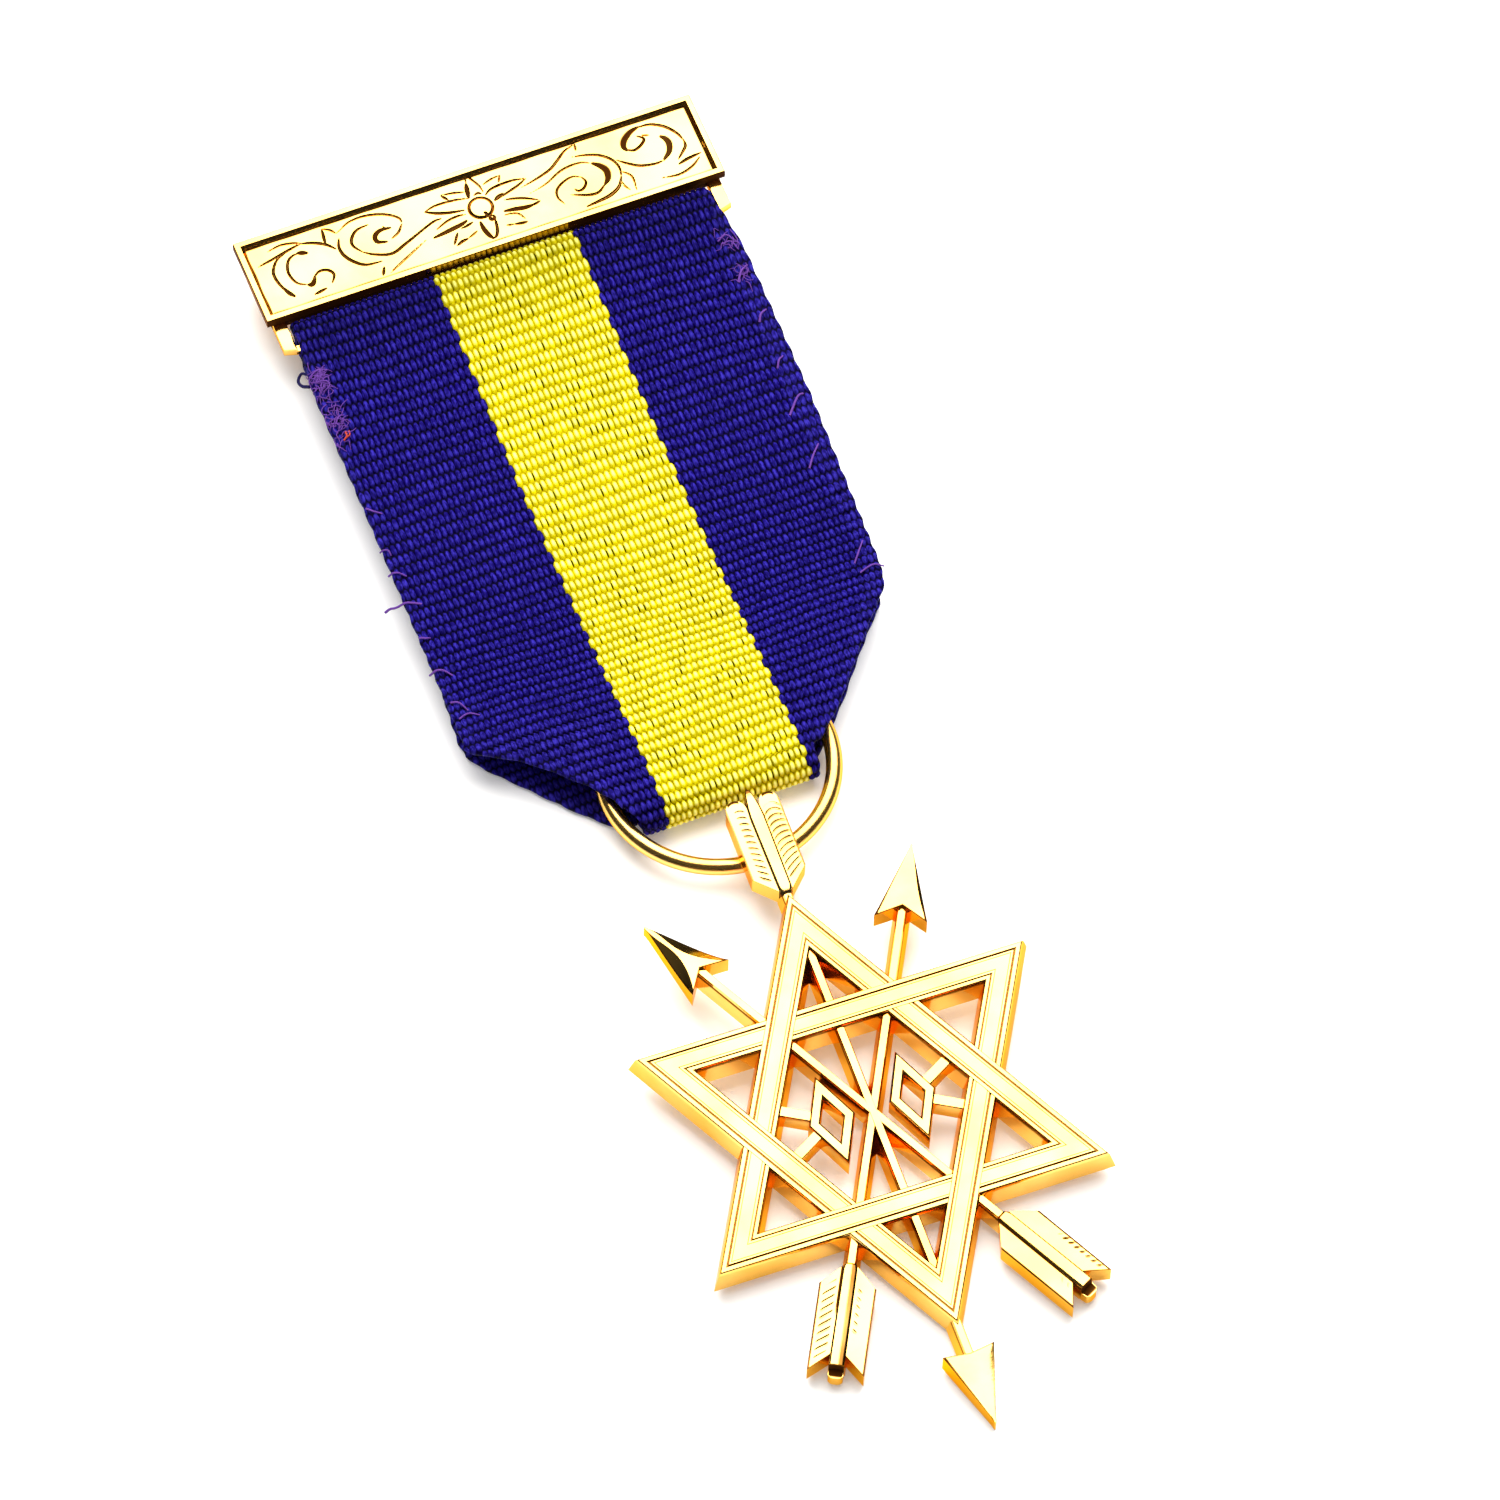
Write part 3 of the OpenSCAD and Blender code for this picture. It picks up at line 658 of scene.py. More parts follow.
def furrow(x, y, width, points):
    """Depth share of one cut: a bell curve of the distance to the cut, divided by its width
    there. The width grows by a power of a sine, from about a third at the ends to its greatest in
    the middle."""
    line = smooth_line(points, CUT_SAMPLES)
    taper = 0.35 + 0.65 * np.sin(np.pi * np.linspace(0, 1, CUT_SAMPLES)) ** 0.8
    low = line.min(0) - 3 * width
    high = line.max(0) + 3 * width
    near = (x > low[0]) & (x < high[0]) & (y > low[1]) & (y < high[1])
    depth = np.zeros_like(x)
    away = np.hypot(x[near][:, None] - line[:, 0], y[near][:, None] - line[:, 1])
    share = taper**0.5 * np.exp(-((away / (0.7 * width * taper)) ** 2))
    depth[near] = share.max(1)
    return depth


cut_share = bead_line.copy()
cut_soot = bead_line.copy()
for width, soot_and_shade, points in CUTS:
    share = furrow(plate_x, plate_y, width, points)
    cut_share = np.maximum(cut_share, share * (0.5 + 0.5 * soot_and_shade))
    cut_soot = np.maximum(cut_soot, soot_and_shade * np.clip(1.6 * share, 0, 1))
print("all cuts", len(CUTS), "deepest", round(cut_share.max() * CUT_D, 3), "mm")

# %% Put the plate together
# Painted shade in a line at the rim's foot: its widths, wider along the lower rim, and how dark it is
RIM_LINE_W = 0.075
LOWER_LINE_W = 0.13
RIM_SHADE = 0.66
# Within this distance of its middle the plate's lower edge and wall stand over the ribbon's yellow
# stripe and are lit by it, so the painted shade on them is lighter there, a painted reflection of the
# yellow
STRIPE_HALF = 5.3

in_field = plate_inside > RIM_FLAT + RIM_RUN
plate_z = plate_z + in_field * (bead_dome * BEAD_RISE - cut_share * CUT_D)
above_lower_edge = plate_y + BAR_H / 2
at_lower_rim = (plate_y < 0) & (above_lower_edge <= BAR_W / 2 - np.abs(plate_x))
line_w = np.where(at_lower_rim, LOWER_LINE_W, RIM_LINE_W)
rim_shade_line = RIM_SHADE * np.exp(-(((plate_inside - RIM_FLAT - RIM_RUN) / line_w) ** 2))
patchy = 0.72 + 0.28 * np.sin(1.9 * plate_x + 0.6) * np.sin(2.3 * plate_y + 0.4)
# Painted dark reflection along the plate's left end and along its lower edge, lighter over the yellow
# stripe
left_edge_shade = np.where(plate_x + BAR_W / 2 < EDGE_R / 2 + 0.01, 1.0, 0)
by_stripe = np.abs(plate_x) < STRIPE_HALF
lower_edge_shade = np.where(above_lower_edge < EDGE_R / 4, np.where(by_stripe, 0.5, 0.9), 0)
# Soot in the cuts, and painted shade at the rim's foot and along the edges
plate_soot_and_shade = np.maximum(cut_soot * in_field, rim_shade_line * patchy)
plate_soot_and_shade = np.maximum(plate_soot_and_shade, np.maximum(left_edge_shade, lower_edge_shade))
# Painted shade and dark reflection on the plate's walls, lighter on the lower wall over the yellow
# stripe
plate_wall_shade = np.full(len(edge_loop(*plate_x.shape)), 0.8)
plate_wall_shade[:plate_x.shape[1]] = np.where(by_stripe[0], 0.1, 0.9)
plate_top = np.stack([plate_x, plate_y + BAR_Y, plate_z], -1)
plate_part = slab(plate_top, FACE_Z - PLATE_T, plate_soot_and_shade, plate_wall_shade)
plate = build("bar_plate", [plate_part], gilt, sharp=32)
hand_over(plate, "gilt_metal", "top_bar")

# %% [markdown]
# ## The slotted frame, hinge, catch and pin
# Behind the plate a frame is soldered on. Two short arms come out under the plate's ends, and a
# thin rail between them carries the ribbon. A hinge and a hook for the pin sit on its back, out
# of sight. One could bevel cubes, but the arms end at a slant. So a block is a prism whose outline
# shrinks near both ends, which breaks its edges, and the hinge and the catch are their side views
# carried along the bar.

# %% Prisms with broken edges
def shrunk(outline, inset):
    """The outline moved inwards: each corner goes along the bisector of its two edges, by the
    inset divided by the sine of half the corner's angle. The outline runs against the clock."""
    outline = np.asarray(outline, float)
    ahead = np.roll(outline, -1, 0) - outline
    ahead /= np.linalg.norm(ahead, axis=1, keepdims=True)
    inward = np.stack([-ahead[:, 1], ahead[:, 0]], -1)
    before = np.roll(inward, 1, 0)
    middle = inward + before
    middle /= (middle * inward).sum(1, keepdims=True)
    return outline + inset * middle


def prism(outline, z_low, z_high, bevel):
    """Rings of the outline from the bottom to the top, drawn in by the bevel at both ends."""
    outline = np.asarray(outline, float)
    steps = [
        (bevel, z_low), (bevel * 0.3, z_low + bevel * 0.3), (0, z_low + bevel),
        (0, z_high - bevel), (bevel * 0.3, z_high - bevel * 0.3), (bevel, z_high),
    ]
    rings = []
    for inset, z in steps:
        flat = shrunk(outline, inset)
        rings.append(np.column_stack([flat, np.full(len(flat), z)]))
    return loft(np.array(rings))


def block(x0, x1, y0, y1, z0, z1, bevel=0.08):
    """A straight block with broken edges."""
    return prism([(x0, y0), (x1, y0), (x1, y1), (x0, y1)], z0, z1, bevel)


# %% Sizes of the frame and the clasp
CLASP_H = 2.9
FRAME_T = 0.75
FRAME_INSET = 0.4
FRAME_HALF = BAR_W / 2 - FRAME_INSET
ARM_W = 0.95
ARM_REACH = 2.45
ARM_END = -BAR_H / 2 - ARM_REACH
ARM_SLANT = 0.3
ARM_BEHIND = 0.3
RAIL_H = 0.55
RAIL_T = 0.5
CLASP_X = 14.4
CLASP_W = 2.0
CLASP_DEPTH = 2.4
PIN_Y = 0.9
PIN_D = 0.9
PIN_Z = 1.05
SLIP = 0.1
BORE_R = PIN_D / 2 + SLIP
# Darkness of the painted shadow on the frame's wall in the slot
SLOT_SHADE = 0.95
slot_top = -BAR_H / 2 + SLIP
rail_top = ARM_END + RAIL_H
slot_half = FRAME_HALF - ARM_W
print("slot", round(2 * slot_half, 1), "mm wide, rail", RAIL_H, "x", RAIL_T, "mm")

# %% Arms, hinge and catch
def arm(side):
    """An arm under one end of the plate, cut off at a slant towards the rail."""
    inner, outer, top = slot_half, FRAME_HALF, slot_top + ARM_BEHIND
    outline = np.array([(inner, ARM_END), (outer, ARM_END + ARM_SLANT), (outer, top), (inner, top)])
    if side < 0:
        outline = (outline * [-1, 1])[::-1]
    return prism(outline, CLASP_H, CLASP_H + FRAME_T, 0.1)


def catch_block(x0, x1):
    """The catch's side view, y to the right and z up, carried along x. Its round bore for the pin
    opens to the upper side of the bar."""
    y0, y1 = PIN_Y - CLASP_DEPTH / 2, PIN_Y + CLASP_DEPTH / 2
    inner = arc_points((PIN_Y, PIN_Z), BORE_R, 270, 90, 13)
    mouth = [
        (y1, PIN_Z + BORE_R), (y1, CLASP_H), (y0, CLASP_H), (y0, 0), (y1, 0), (y1, PIN_Z - BORE_R),
    ]
    outline = np.concatenate([inner, mouth])
    return loft(np.stack([np.column_stack([np.full(len(outline), x), outline]) for x in (x0, x1)]))


def hinge_block(x0, x1):
    """A block with a closed round bore. At each of many angles round the bore's middle, a ray
    gives one point on the bore and one where it first meets a side of the block: half the depth
    divided by the cosine, or the height divided by the sine, whichever is less."""
    half = CLASP_DEPTH / 2
    low, high = -PIN_Z, CLASP_H - PIN_Z
    corner_angles = np.arctan2([low, low, high, high], [-half, half, half, -half])
    angle = np.sort(np.concatenate([np.linspace(-np.pi, np.pi, 36, endpoint=False), corner_angles]))
    ray = np.stack([np.cos(angle), np.sin(angle)], -1)
    wall_y = half / np.maximum(np.abs(ray[:, 0]), 1e-9)
    wall_z = np.where(ray[:, 1] > 0, high, -low) / np.maximum(np.abs(ray[:, 1]), 1e-9)
    inner = ray * BORE_R
    outer = ray * np.minimum(wall_y, wall_z)[:, None]
    rings = [(inner, x0), (outer, x0), (outer, x1), (inner, x1)]
    rings = [np.column_stack([np.full(len(r), x), r + (PIN_Y, PIN_Z)]) for r, x in rings]
    return grid_part(np.array(rings), closed=True)


# %% Put the frame together
# The block behind the plate ends a hair below it, so that no two faces lie in one plane, and its wall
# in the slot is painted black, a painted shadow in the slot
back_end = BAR_H / 2 - FRAME_INSET
back_top = CLASP_H + FRAME_T - 0.01
back_points, back_faces, _ = block(-FRAME_HALF, FRAME_HALF, slot_top, back_end, CLASP_H, back_top)
in_slot = (back_points[:, 1] < slot_top + 0.2) & (back_points[:, 2] > CLASP_H + 0.05)
frame_parts = [
    part(back_points, back_faces, np.where(in_slot, SLOT_SHADE, 0)),
    arm(1),
    arm(-1),
    block(-slot_half - 0.1, slot_half + 0.1, ARM_END, rail_top, CLASP_H, CLASP_H + RAIL_T, 0.12),
    hinge_block(-CLASP_X - CLASP_W / 2, -CLASP_X + CLASP_W / 2),
    catch_block(CLASP_X - CLASP_W / 2, CLASP_X + CLASP_W / 2),
]


def on_bar(points):
    """From the bar's own middle to its place on the table."""
    return points + [0, BAR_Y, 0]


bar_frame = build("bar_frame", [moved(p, on_bar) for p in frame_parts], gilt)
hand_over(bar_frame, "gilt_metal", "top_bar")

# %% The pin
# Places along the pin, and its radius there
pin_x = np.array([-14.8, -14.75, -14.6, 0, 13.6, 14.2, 14.7, 15.1, 15.35, 15.4])
pin_r = PIN_D / 2 * np.array([0.6, 0.85, 1, 1, 1, 0.86, 0.66, 0.44, 0.26, 0.1])
pin_path = np.stack([pin_x, 0 * pin_x + BAR_Y + PIN_Y, 0 * pin_x + PIN_Z], -1)
pin = build("brooch_pin_wire", [tube(pin_path, pin_r, 20)], wire_gilt)
hand_over(pin, "pin_wire", "brooch_pin")

# %% [markdown]
# ## The ribbon's weave
# The ribbon is a grosgrain: thick hidden cords run across it, and fine warp threads pass over one
# cord and under the next. Each rib is therefore a row of small ovals, and the next row is shifted
# by half a thread. A bump picture would do from far away. Here the ovals are real relief on the
# grid, and the same two numbers, the place across and the length along the ribbon, are kept as an
# attribute, so that the colour of each thread follows the same rule in the material.

# %% Sizes of the weave
THREAD = 0.415
# Distance below the bar's middle line and the pitch of the ribs there: they crowd near the ring
RIB_PITCH = [
    (4, 1.0), (11, 0.98), (16, 0.94), (26, 0.94), (30, 0.86), (34, 0.72), (37, 0.67),
    (40, 0.74), (43, 0.82), (46, 0.88), (54, 0.88),
]
OVAL_HALF_W = 0.555
OVAL_HALF_L = 0.59
RELIEF = 0.26
PLY_T = 0.6
STRIPE_LEFT = -5.15
STRIPE_RIGHT = 5.35


def weave_relief(threads, ribs):
    """How far the surface lies below the tops of the ovals. Each oval is half an ellipsoid. Those
    on one rib are a thread apart, those on the next rib are shifted by half a thread, and the
    surface is the highest of the ovals near a point. Places are counted in threads and ribs."""
    nearest = np.full(np.broadcast(threads, ribs).shape, 9.0)
    for step in (-1, 0, 1):
        row = np.floor(ribs) + step
        shifted = threads + 0.5 * (row % 2)
        beside = (shifted - np.floor(shifted) - 0.5) / OVAL_HALF_W
        beyond = (ribs - row - 0.5) / OVAL_HALF_L
        nearest = np.minimum(nearest, beside**2 + beyond**2)
    return RELIEF * (1 - np.sqrt(np.clip(1 - nearest, 0, 1)))


oval_w = round(2 * OVAL_HALF_W * THREAD, 2)
print("ovals", oval_w, "mm wide, so they overlap on threads of", THREAD, "mm")

# %% [markdown]
# ## The two plies
# One strip of ribbon goes over the rail, down the front, round the ring's wire and up the back,
# and its plies are sewn together along the sides. Its lower corners are folded in, so that the
# strip narrows towards the ring. A flat card with slanted corners would miss the loops. Each ply
# is a path seen from the side, and the grid runs along it and across it, with round edges.

# %% Side views of the plies
RAIL_Y = rail_top
RAIL_Z = CLASP_H + RAIL_T / 2
LOOP_R = 1.35
FOLD_R = 1.725
FOLD_Z = FOLD_R + 0.05
FOLD_Y = -47.975
POCKET_Y = -37.7
SEWN_END = -34.2
SEWN_TOP = -9.4
SEWN_T = 1.4
LOOP_STRETCH = 0.5
LOOP_STEPS = 24


def rail_loop(last):
    """A quarter turn round the rail, from its upper side to an angle in degrees. It is stretched
    upwards, towards the plate, by a cosine of the angle."""
    angle = np.radians(np.linspace(0, last, LOOP_STEPS))
    stretch = np.stack([LOOP_STRETCH * np.cos(angle), 0 * angle], -1)
    return arc_points((RAIL_Y, RAIL_Z), LOOP_R, 0, last, LOOP_STEPS) + stretch


def front_z(y):
    """Height of the front face, a straight run from the loop to the ring's pocket."""
    share = (RAIL_Y - y) / (RAIL_Y - POCKET_Y)
    return RAIL_Z + LOOP_R + share * (FOLD_Z + FOLD_R - RAIL_Z - LOOP_R)


front_path = np.concatenate([
    rail_loop(90),
    [(POCKET_Y, FOLD_Z + FOLD_R)],
    arc_points((FOLD_Y, FOLD_Z), FOLD_R, 90, 270, 60),
])
back_path = np.concatenate([
    rail_loop(-90),
    [
        (ARM_END, RAIL_Z - LOOP_R),
        (SEWN_TOP, front_z(SEWN_TOP) - SEWN_T),
        (SEWN_END, front_z(SEWN_END) - SEWN_T),
        (POCKET_Y, FOLD_Z - FOLD_R),
        (FOLD_Y, FOLD_Z - FOLD_R),
    ],
])
print("points in the front path", len(front_path), "and in the back path", len(back_path))

# %% Lengths along a path
def walk(path, along):
    """Points and left-hand normals at given lengths along a path of straight steps."""
    step = np.diff(path, axis=0)
    length = np.hypot(step[:, 0], step[:, 1])
    total = np.concatenate([[0], np.cumsum(length)])
    y = np.interp(along, total, path[:, 0])
    z = np.interp(along, total, path[:, 1])
    middle = (total[:-1] + total[1:]) / 2
    angle = np.unwrap(np.arctan2(step[:, 1], step[:, 0]))
    angle = np.interp(along, middle, angle)
    return y, z, -np.sin(angle), np.cos(angle)


def length_of(path):
    """Length of a path of straight steps."""
    return np.hypot(*np.diff(path, axis=0).T).sum()


print("front ply", round(length_of(front_path), 2), "back ply", round(length_of(back_path), 2))

# %% Front views of the plies
# Left and right edges: distance below the bar's middle line, and place across
FRONT_LEFT = [
    (4.0, -15.45), (6.0, -15.6), (9.5, -16.0), (22, -16.05), (38.6, -16.2), (39.9, -16.28),
    (40.4, -15.95), (41.0, -14.85), (41.9, -13.4), (43.05, -12.0), (44.2, -10.85),
    (45.6, -9.5), (46.9, -8.5), (47.9, -8.0), (48.9, -7.8), (49.3, -7.7), (50.0, -7.35),
    (50.55, -6.95), (50.7, -6.85),
]
FRONT_RIGHT = [
    (4.0, 15.45), (6.0, 15.6), (9.5, 16.0), (22, 15.95), (36.5, 15.4), (38.0, 15.15),
    (38.7, 14.7), (41.8, 12.1), (44.0, 10.2), (45.65, 8.85), (47.2, 7.3), (48.5, 6.1),
    (49.2, 5.85), (53.5, 5.85),
]
BACK_LEFT = [
    (4.0, -15.4), (6.0, -15.5), (9.5, -15.9), (22, -15.9), (37.5, -16.0), (38.8, -15.85),
    (39.6, -15.45), (40.4, -14.9), (43.1, -12.6), (45.1, -10.9), (46.9, -9.2), (48.0, -8.0),
]
BACK_RIGHT = [
    (4.0, 15.4), (6.0, 15.5), (9.5, 15.9), (22, 15.85), (36.5, 15.2), (38.0, 14.8),
    (38.9, 14.0), (41.8, 11.6), (44.0, 9.8), (46.4, 7.6), (48.0, 6.2),
]
# How far the warp wanders sideways: distance below the bar's middle line, and the shift
DRIFT = [(4, 0.15), (8, 0.0), (15, -0.2), (22, -0.35), (32, -0.3), (42, -0.2), (53.5, -0.2)]


def from_table(table, at):
    """The second column of a table at values of its first, with straight steps between them."""
    first, second = np.array(table).T
    return np.interp(at, first, second)


for down in (10, 40, 48):
    width = from_table(FRONT_RIGHT, down) - from_table(FRONT_LEFT, down)
    print("front ply", down, "mm below the bar's middle:", round(float(width), 1), "mm wide")

# %% One ply as a closed sheet
EDGE_TURN = np.radians([-90, -50, -15, 15, 50])
FIRST_THREAD = -36.5
LAST_THREAD = 35.75
PATH_STEPS = 400
SCALLOP = 0.05


def rib_count(path, down):
    """Number of ribs from the start of a path to each of many places along it: the sum of the
    small steps, each divided by the pitch there."""
    along = np.linspace(0, length_of(path), len(down))
    pitch = from_table(RIB_PITCH, down)
    steps = np.diff(along) * 2 / (pitch[1:] + pitch[:-1])
    return along, np.concatenate([[0], np.cumsum(steps)])


def ply(name, path, left, right, per_thread, per_rib, material, relief, taper):
    """A sheet on a path. Its grid lines follow the threads and the ribs, so that each oval is cut
    the same way. From the taper on, the lines draw together towards the ring. Each side edge is
    half round and scalloped by a cosine, the ribs waver by two slow sines, and the underside is
    plain."""
    fine_y = walk(path, np.linspace(0, length_of(path), PATH_STEPS))[0]
    passed = np.maximum.accumulate(np.maximum(-fine_y, -path[0, 0]))
    fine_down = passed + np.where(passed > -FOLD_Y - 0.01, np.linspace(0, 1, PATH_STEPS), 0)
    fine_along, fine_ribs = rib_count(path, fine_down)
    ribs = np.linspace(0, fine_ribs[-1], int(fine_ribs[-1] * per_rib) + 1)[:, None]
    along = np.interp(ribs, fine_ribs, fine_along)
    threads = np.arange(FIRST_THREAD, LAST_THREAD, 1 / per_thread)[None]
    down = np.interp(along, fine_along, fine_down)
    drift = from_table(DRIFT, down)
    radius = PLY_T / 2
    scallop = SCALLOP * np.cos(np.pi * ribs)
    x_left = from_table(left, down) - scallop + radius
    x_right = from_table(right, down) + scallop - radius
    share = (threads - FIRST_THREAD + 1.5) / (LAST_THREAD - FIRST_THREAD + 4)
    narrowing = np.clip((down - taper) / 1.5, 0, 1)
    field = threads * THREAD + drift
    field = field + narrowing * (x_left + share * (x_right - x_left) - field)
    left_fill = x_left + np.array([[0, 0.5]]) * (field[:, :1] - x_left)
    right_fill = x_right + np.array([[0.5, 0]]) * (field[:, -1:] - x_right)
    turn = EDGE_TURN[None]
    x = np.concatenate([
        x_left - radius * np.cos(turn), left_fill, field,
        right_fill, x_right + radius * np.cos(turn[:, ::-1]),
    ], 1)
    middle = np.ones((1, x.shape[1] - 2 * len(EDGE_TURN)))
    lift = np.concatenate([np.sin(turn), middle, np.sin(turn[:, ::-1])], 1)
    slack = 0.12 * np.sin(0.21 * x + 0.13 * along) + 0.07 * np.sin(0.55 * x - 0.3 * along)
    y, z, ny, nz = walk(path, np.clip(along - slack, 0, fine_along[-1]))
    outward = -1 if path is front_path else 1
    weave_x = (x - drift) / THREAD
    sunk = relief * weave_relief(weave_x, ribs) * np.clip(lift, 0, 1)
    height = outward * (radius * (lift - 1) - sunk)
    points = np.stack([x, BAR_Y + y + ny * height, z + nz * height], -1)
    rows, count = x.shape
    number = np.arange(rows)
    under = np.stack([number[:-1], number[1:]], -1) * count
    under = np.concatenate([under, under[:, ::-1] + count - 1], 1)
    ends = [np.arange(count)[None, ::-1], (rows - 1) * count + np.arange(count)[None]]
    sheet_part = part(points, [grid_faces(rows, count), under, *ends])
    weave = np.stack([weave_x, ribs + 0 * weave_x, 0 * weave_x], -1)
    return build(name, [sheet_part], material, sharp=60, extra={"weave": weave})


# %% [markdown]
# ## Colour of the threads
# Each warp thread keeps one colour from end to end, so the stripe's edge steps in and out by half a
# thread from rib to rib. The material finds the rib and the thread of a point, asks whether the middle
# of that thread lies in the stripe, and paints light and shade onto the thread: painted shade in the
# gaps and on the lower half of each rib, a painted highlight on its crest, each oval a little
# different, and now and then a dark dash of painted shade in the gap where two threads part. The first
# ribs under the bar get painted shade as well.

# %% Colours of the threads
# The threads' own blue and yellow, a lit colour of each for painted highlights and a dark one for
# painted shade, and a near black for painted shade in the gaps between threads
BLUE = (0.0055, 0.002, 0.105, 1)
BLUE_LIT = (0.026, 0.018, 0.28, 1)
BLUE_SHADE = (0.0012, 0.0, 0.016, 1)
YELLOW = (0.66, 0.57, 0.0, 1)
YELLOW_LIT = (0.97, 0.95, 0.22, 1)
YELLOW_SHADE = (0.27, 0.19, 0.0, 1)
GAP_SHADE = (0.03, 0.02, 0.0, 1)
# Even numbers added to the counts, so that neither is negative and odd ribs stay odd
EVEN_RIBS = 10.0
MANY_THREADS = 200.0
# Depth of the bump on each oval, in metres
RELIEF_BUMP = 0.00007
print("the stripe is", round((STRIPE_RIGHT - STRIPE_LEFT) / THREAD), "threads wide")

# %% The oval that a point belongs to
def oval_at(tree, across, along, rib):
    """The oval of one rib that a point belongs to: how far off its middle the point lies, 1 at
    its rim, the number of its thread, that thread's middle, and the two places inside it."""
    half_shift = calc(tree, "MULTIPLY", calc(tree, "MODULO", rib, 2.0), 0.5)
    threads = calc(tree, "ADD", calc(tree, "ADD", across, MANY_THREADS), half_shift)
    thread = calc(tree, "FLOOR", threads)
    beside = calc(tree, "SUBTRACT", calc(tree, "FRACT", threads), 0.5)
    beyond = calc(tree, "SUBTRACT", calc(tree, "SUBTRACT", along, rib), 0.5)
    wide = calc(tree, "ABSOLUTE", calc(tree, "DIVIDE", beside, OVAL_HALF_W))
    long = calc(tree, "ABSOLUTE", calc(tree, "DIVIDE", beyond, OVAL_HALF_L))
    off = calc(tree, "ADD", calc(tree, "POWER", wide, 2.0), calc(tree, "POWER", long, 2.0))
    middle = calc(tree, "SUBTRACT", calc(tree, "ADD", thread, 0.5 - MANY_THREADS), half_shift)
    return off, thread, middle, beside, beyond


def choose(tree, share, first, second):
    """The first number where the share is 0 and the second where it is 1."""
    step = calc(tree, "MULTIPLY", calc(tree, "SUBTRACT", second, first), share)
    return calc(tree, "ADD", first, step)


# %% Steps of the grosgrain finish
def random_for(tree, first, second):
    """A random number from 0 to 1 for a pair of numbers, the same each time for the same pair."""
    pair = tree.nodes.new("ShaderNodeCombineXYZ")
    tree.links.new(first, pair.inputs[0])
    tree.links.new(second, pair.inputs[1])
    chance = tree.nodes.new("ShaderNodeTexWhiteNoise")
    chance.noise_dimensions = "2D"
    tree.links.new(pair.outputs[0], chance.inputs["Vector"])
    return chance.outputs["Value"]


def weave_noise(tree, across, along, across_scale, along_scale, detail):
    """Noise with so many grains to a thread across and to a rib along."""
    place = tree.nodes.new("ShaderNodeCombineXYZ")
    tree.links.new(calc(tree, "MULTIPLY", across, across_scale), place.inputs[0])
    tree.links.new(calc(tree, "MULTIPLY", along, along_scale), place.inputs[1])
    return noise(tree, place.outputs[0], 1.0, detail)


def gap_shading(tree, rib, thread, beside, beyond):
    """A dark dash of painted shade in the gap between two threads of a rib, at one place in a few. Both
    threads give the gap between them the same number, so they agree on it."""
    gap = calc(tree, "ADD", thread, calc(tree, "GREATER_THAN", beside, 0.0))
    chance = random_for(tree, gap, calc(tree, "ADD", rib, 0.5))
    dash = calc(tree, "MULTIPLY",
                soft_step(tree, calc(tree, "ABSOLUTE", beside), 0.33, 0.42),
                soft_step(tree, chance, 0.6, 0.95))
    return calc(tree, "MULTIPLY", dash, soft_step(tree, calc(tree, "ABSOLUTE", beyond), 0.4, 0.25))


def blue_threads(tree, streak, off, dark):
    """Navy, with a painted highlight in streaks near the middle of an oval, and painted shade, nearly
    black, in the gaps and on the lower half of each rib.
    """
    lit = calc(tree, "MULTIPLY", streak, soft_step(tree, off, 0.95, 0.3))
    return blend(tree, dark, blend(tree, lit, BLUE, BLUE_LIT), BLUE_SHADE)


def yellow_threads(tree, dark, crest, dash):
    """Yellow, with ochre painted shade in the gaps and on the lower half of each rib, a pale painted
    highlight on the crests, and the dashes of painted shade where two threads part.
    """
    yellow = blend(tree, calc(tree, "MULTIPLY", dark, 0.55), YELLOW, YELLOW_SHADE)
    return blend(tree, dash, blend(tree, crest, yellow, YELLOW_LIT), GAP_SHADE)


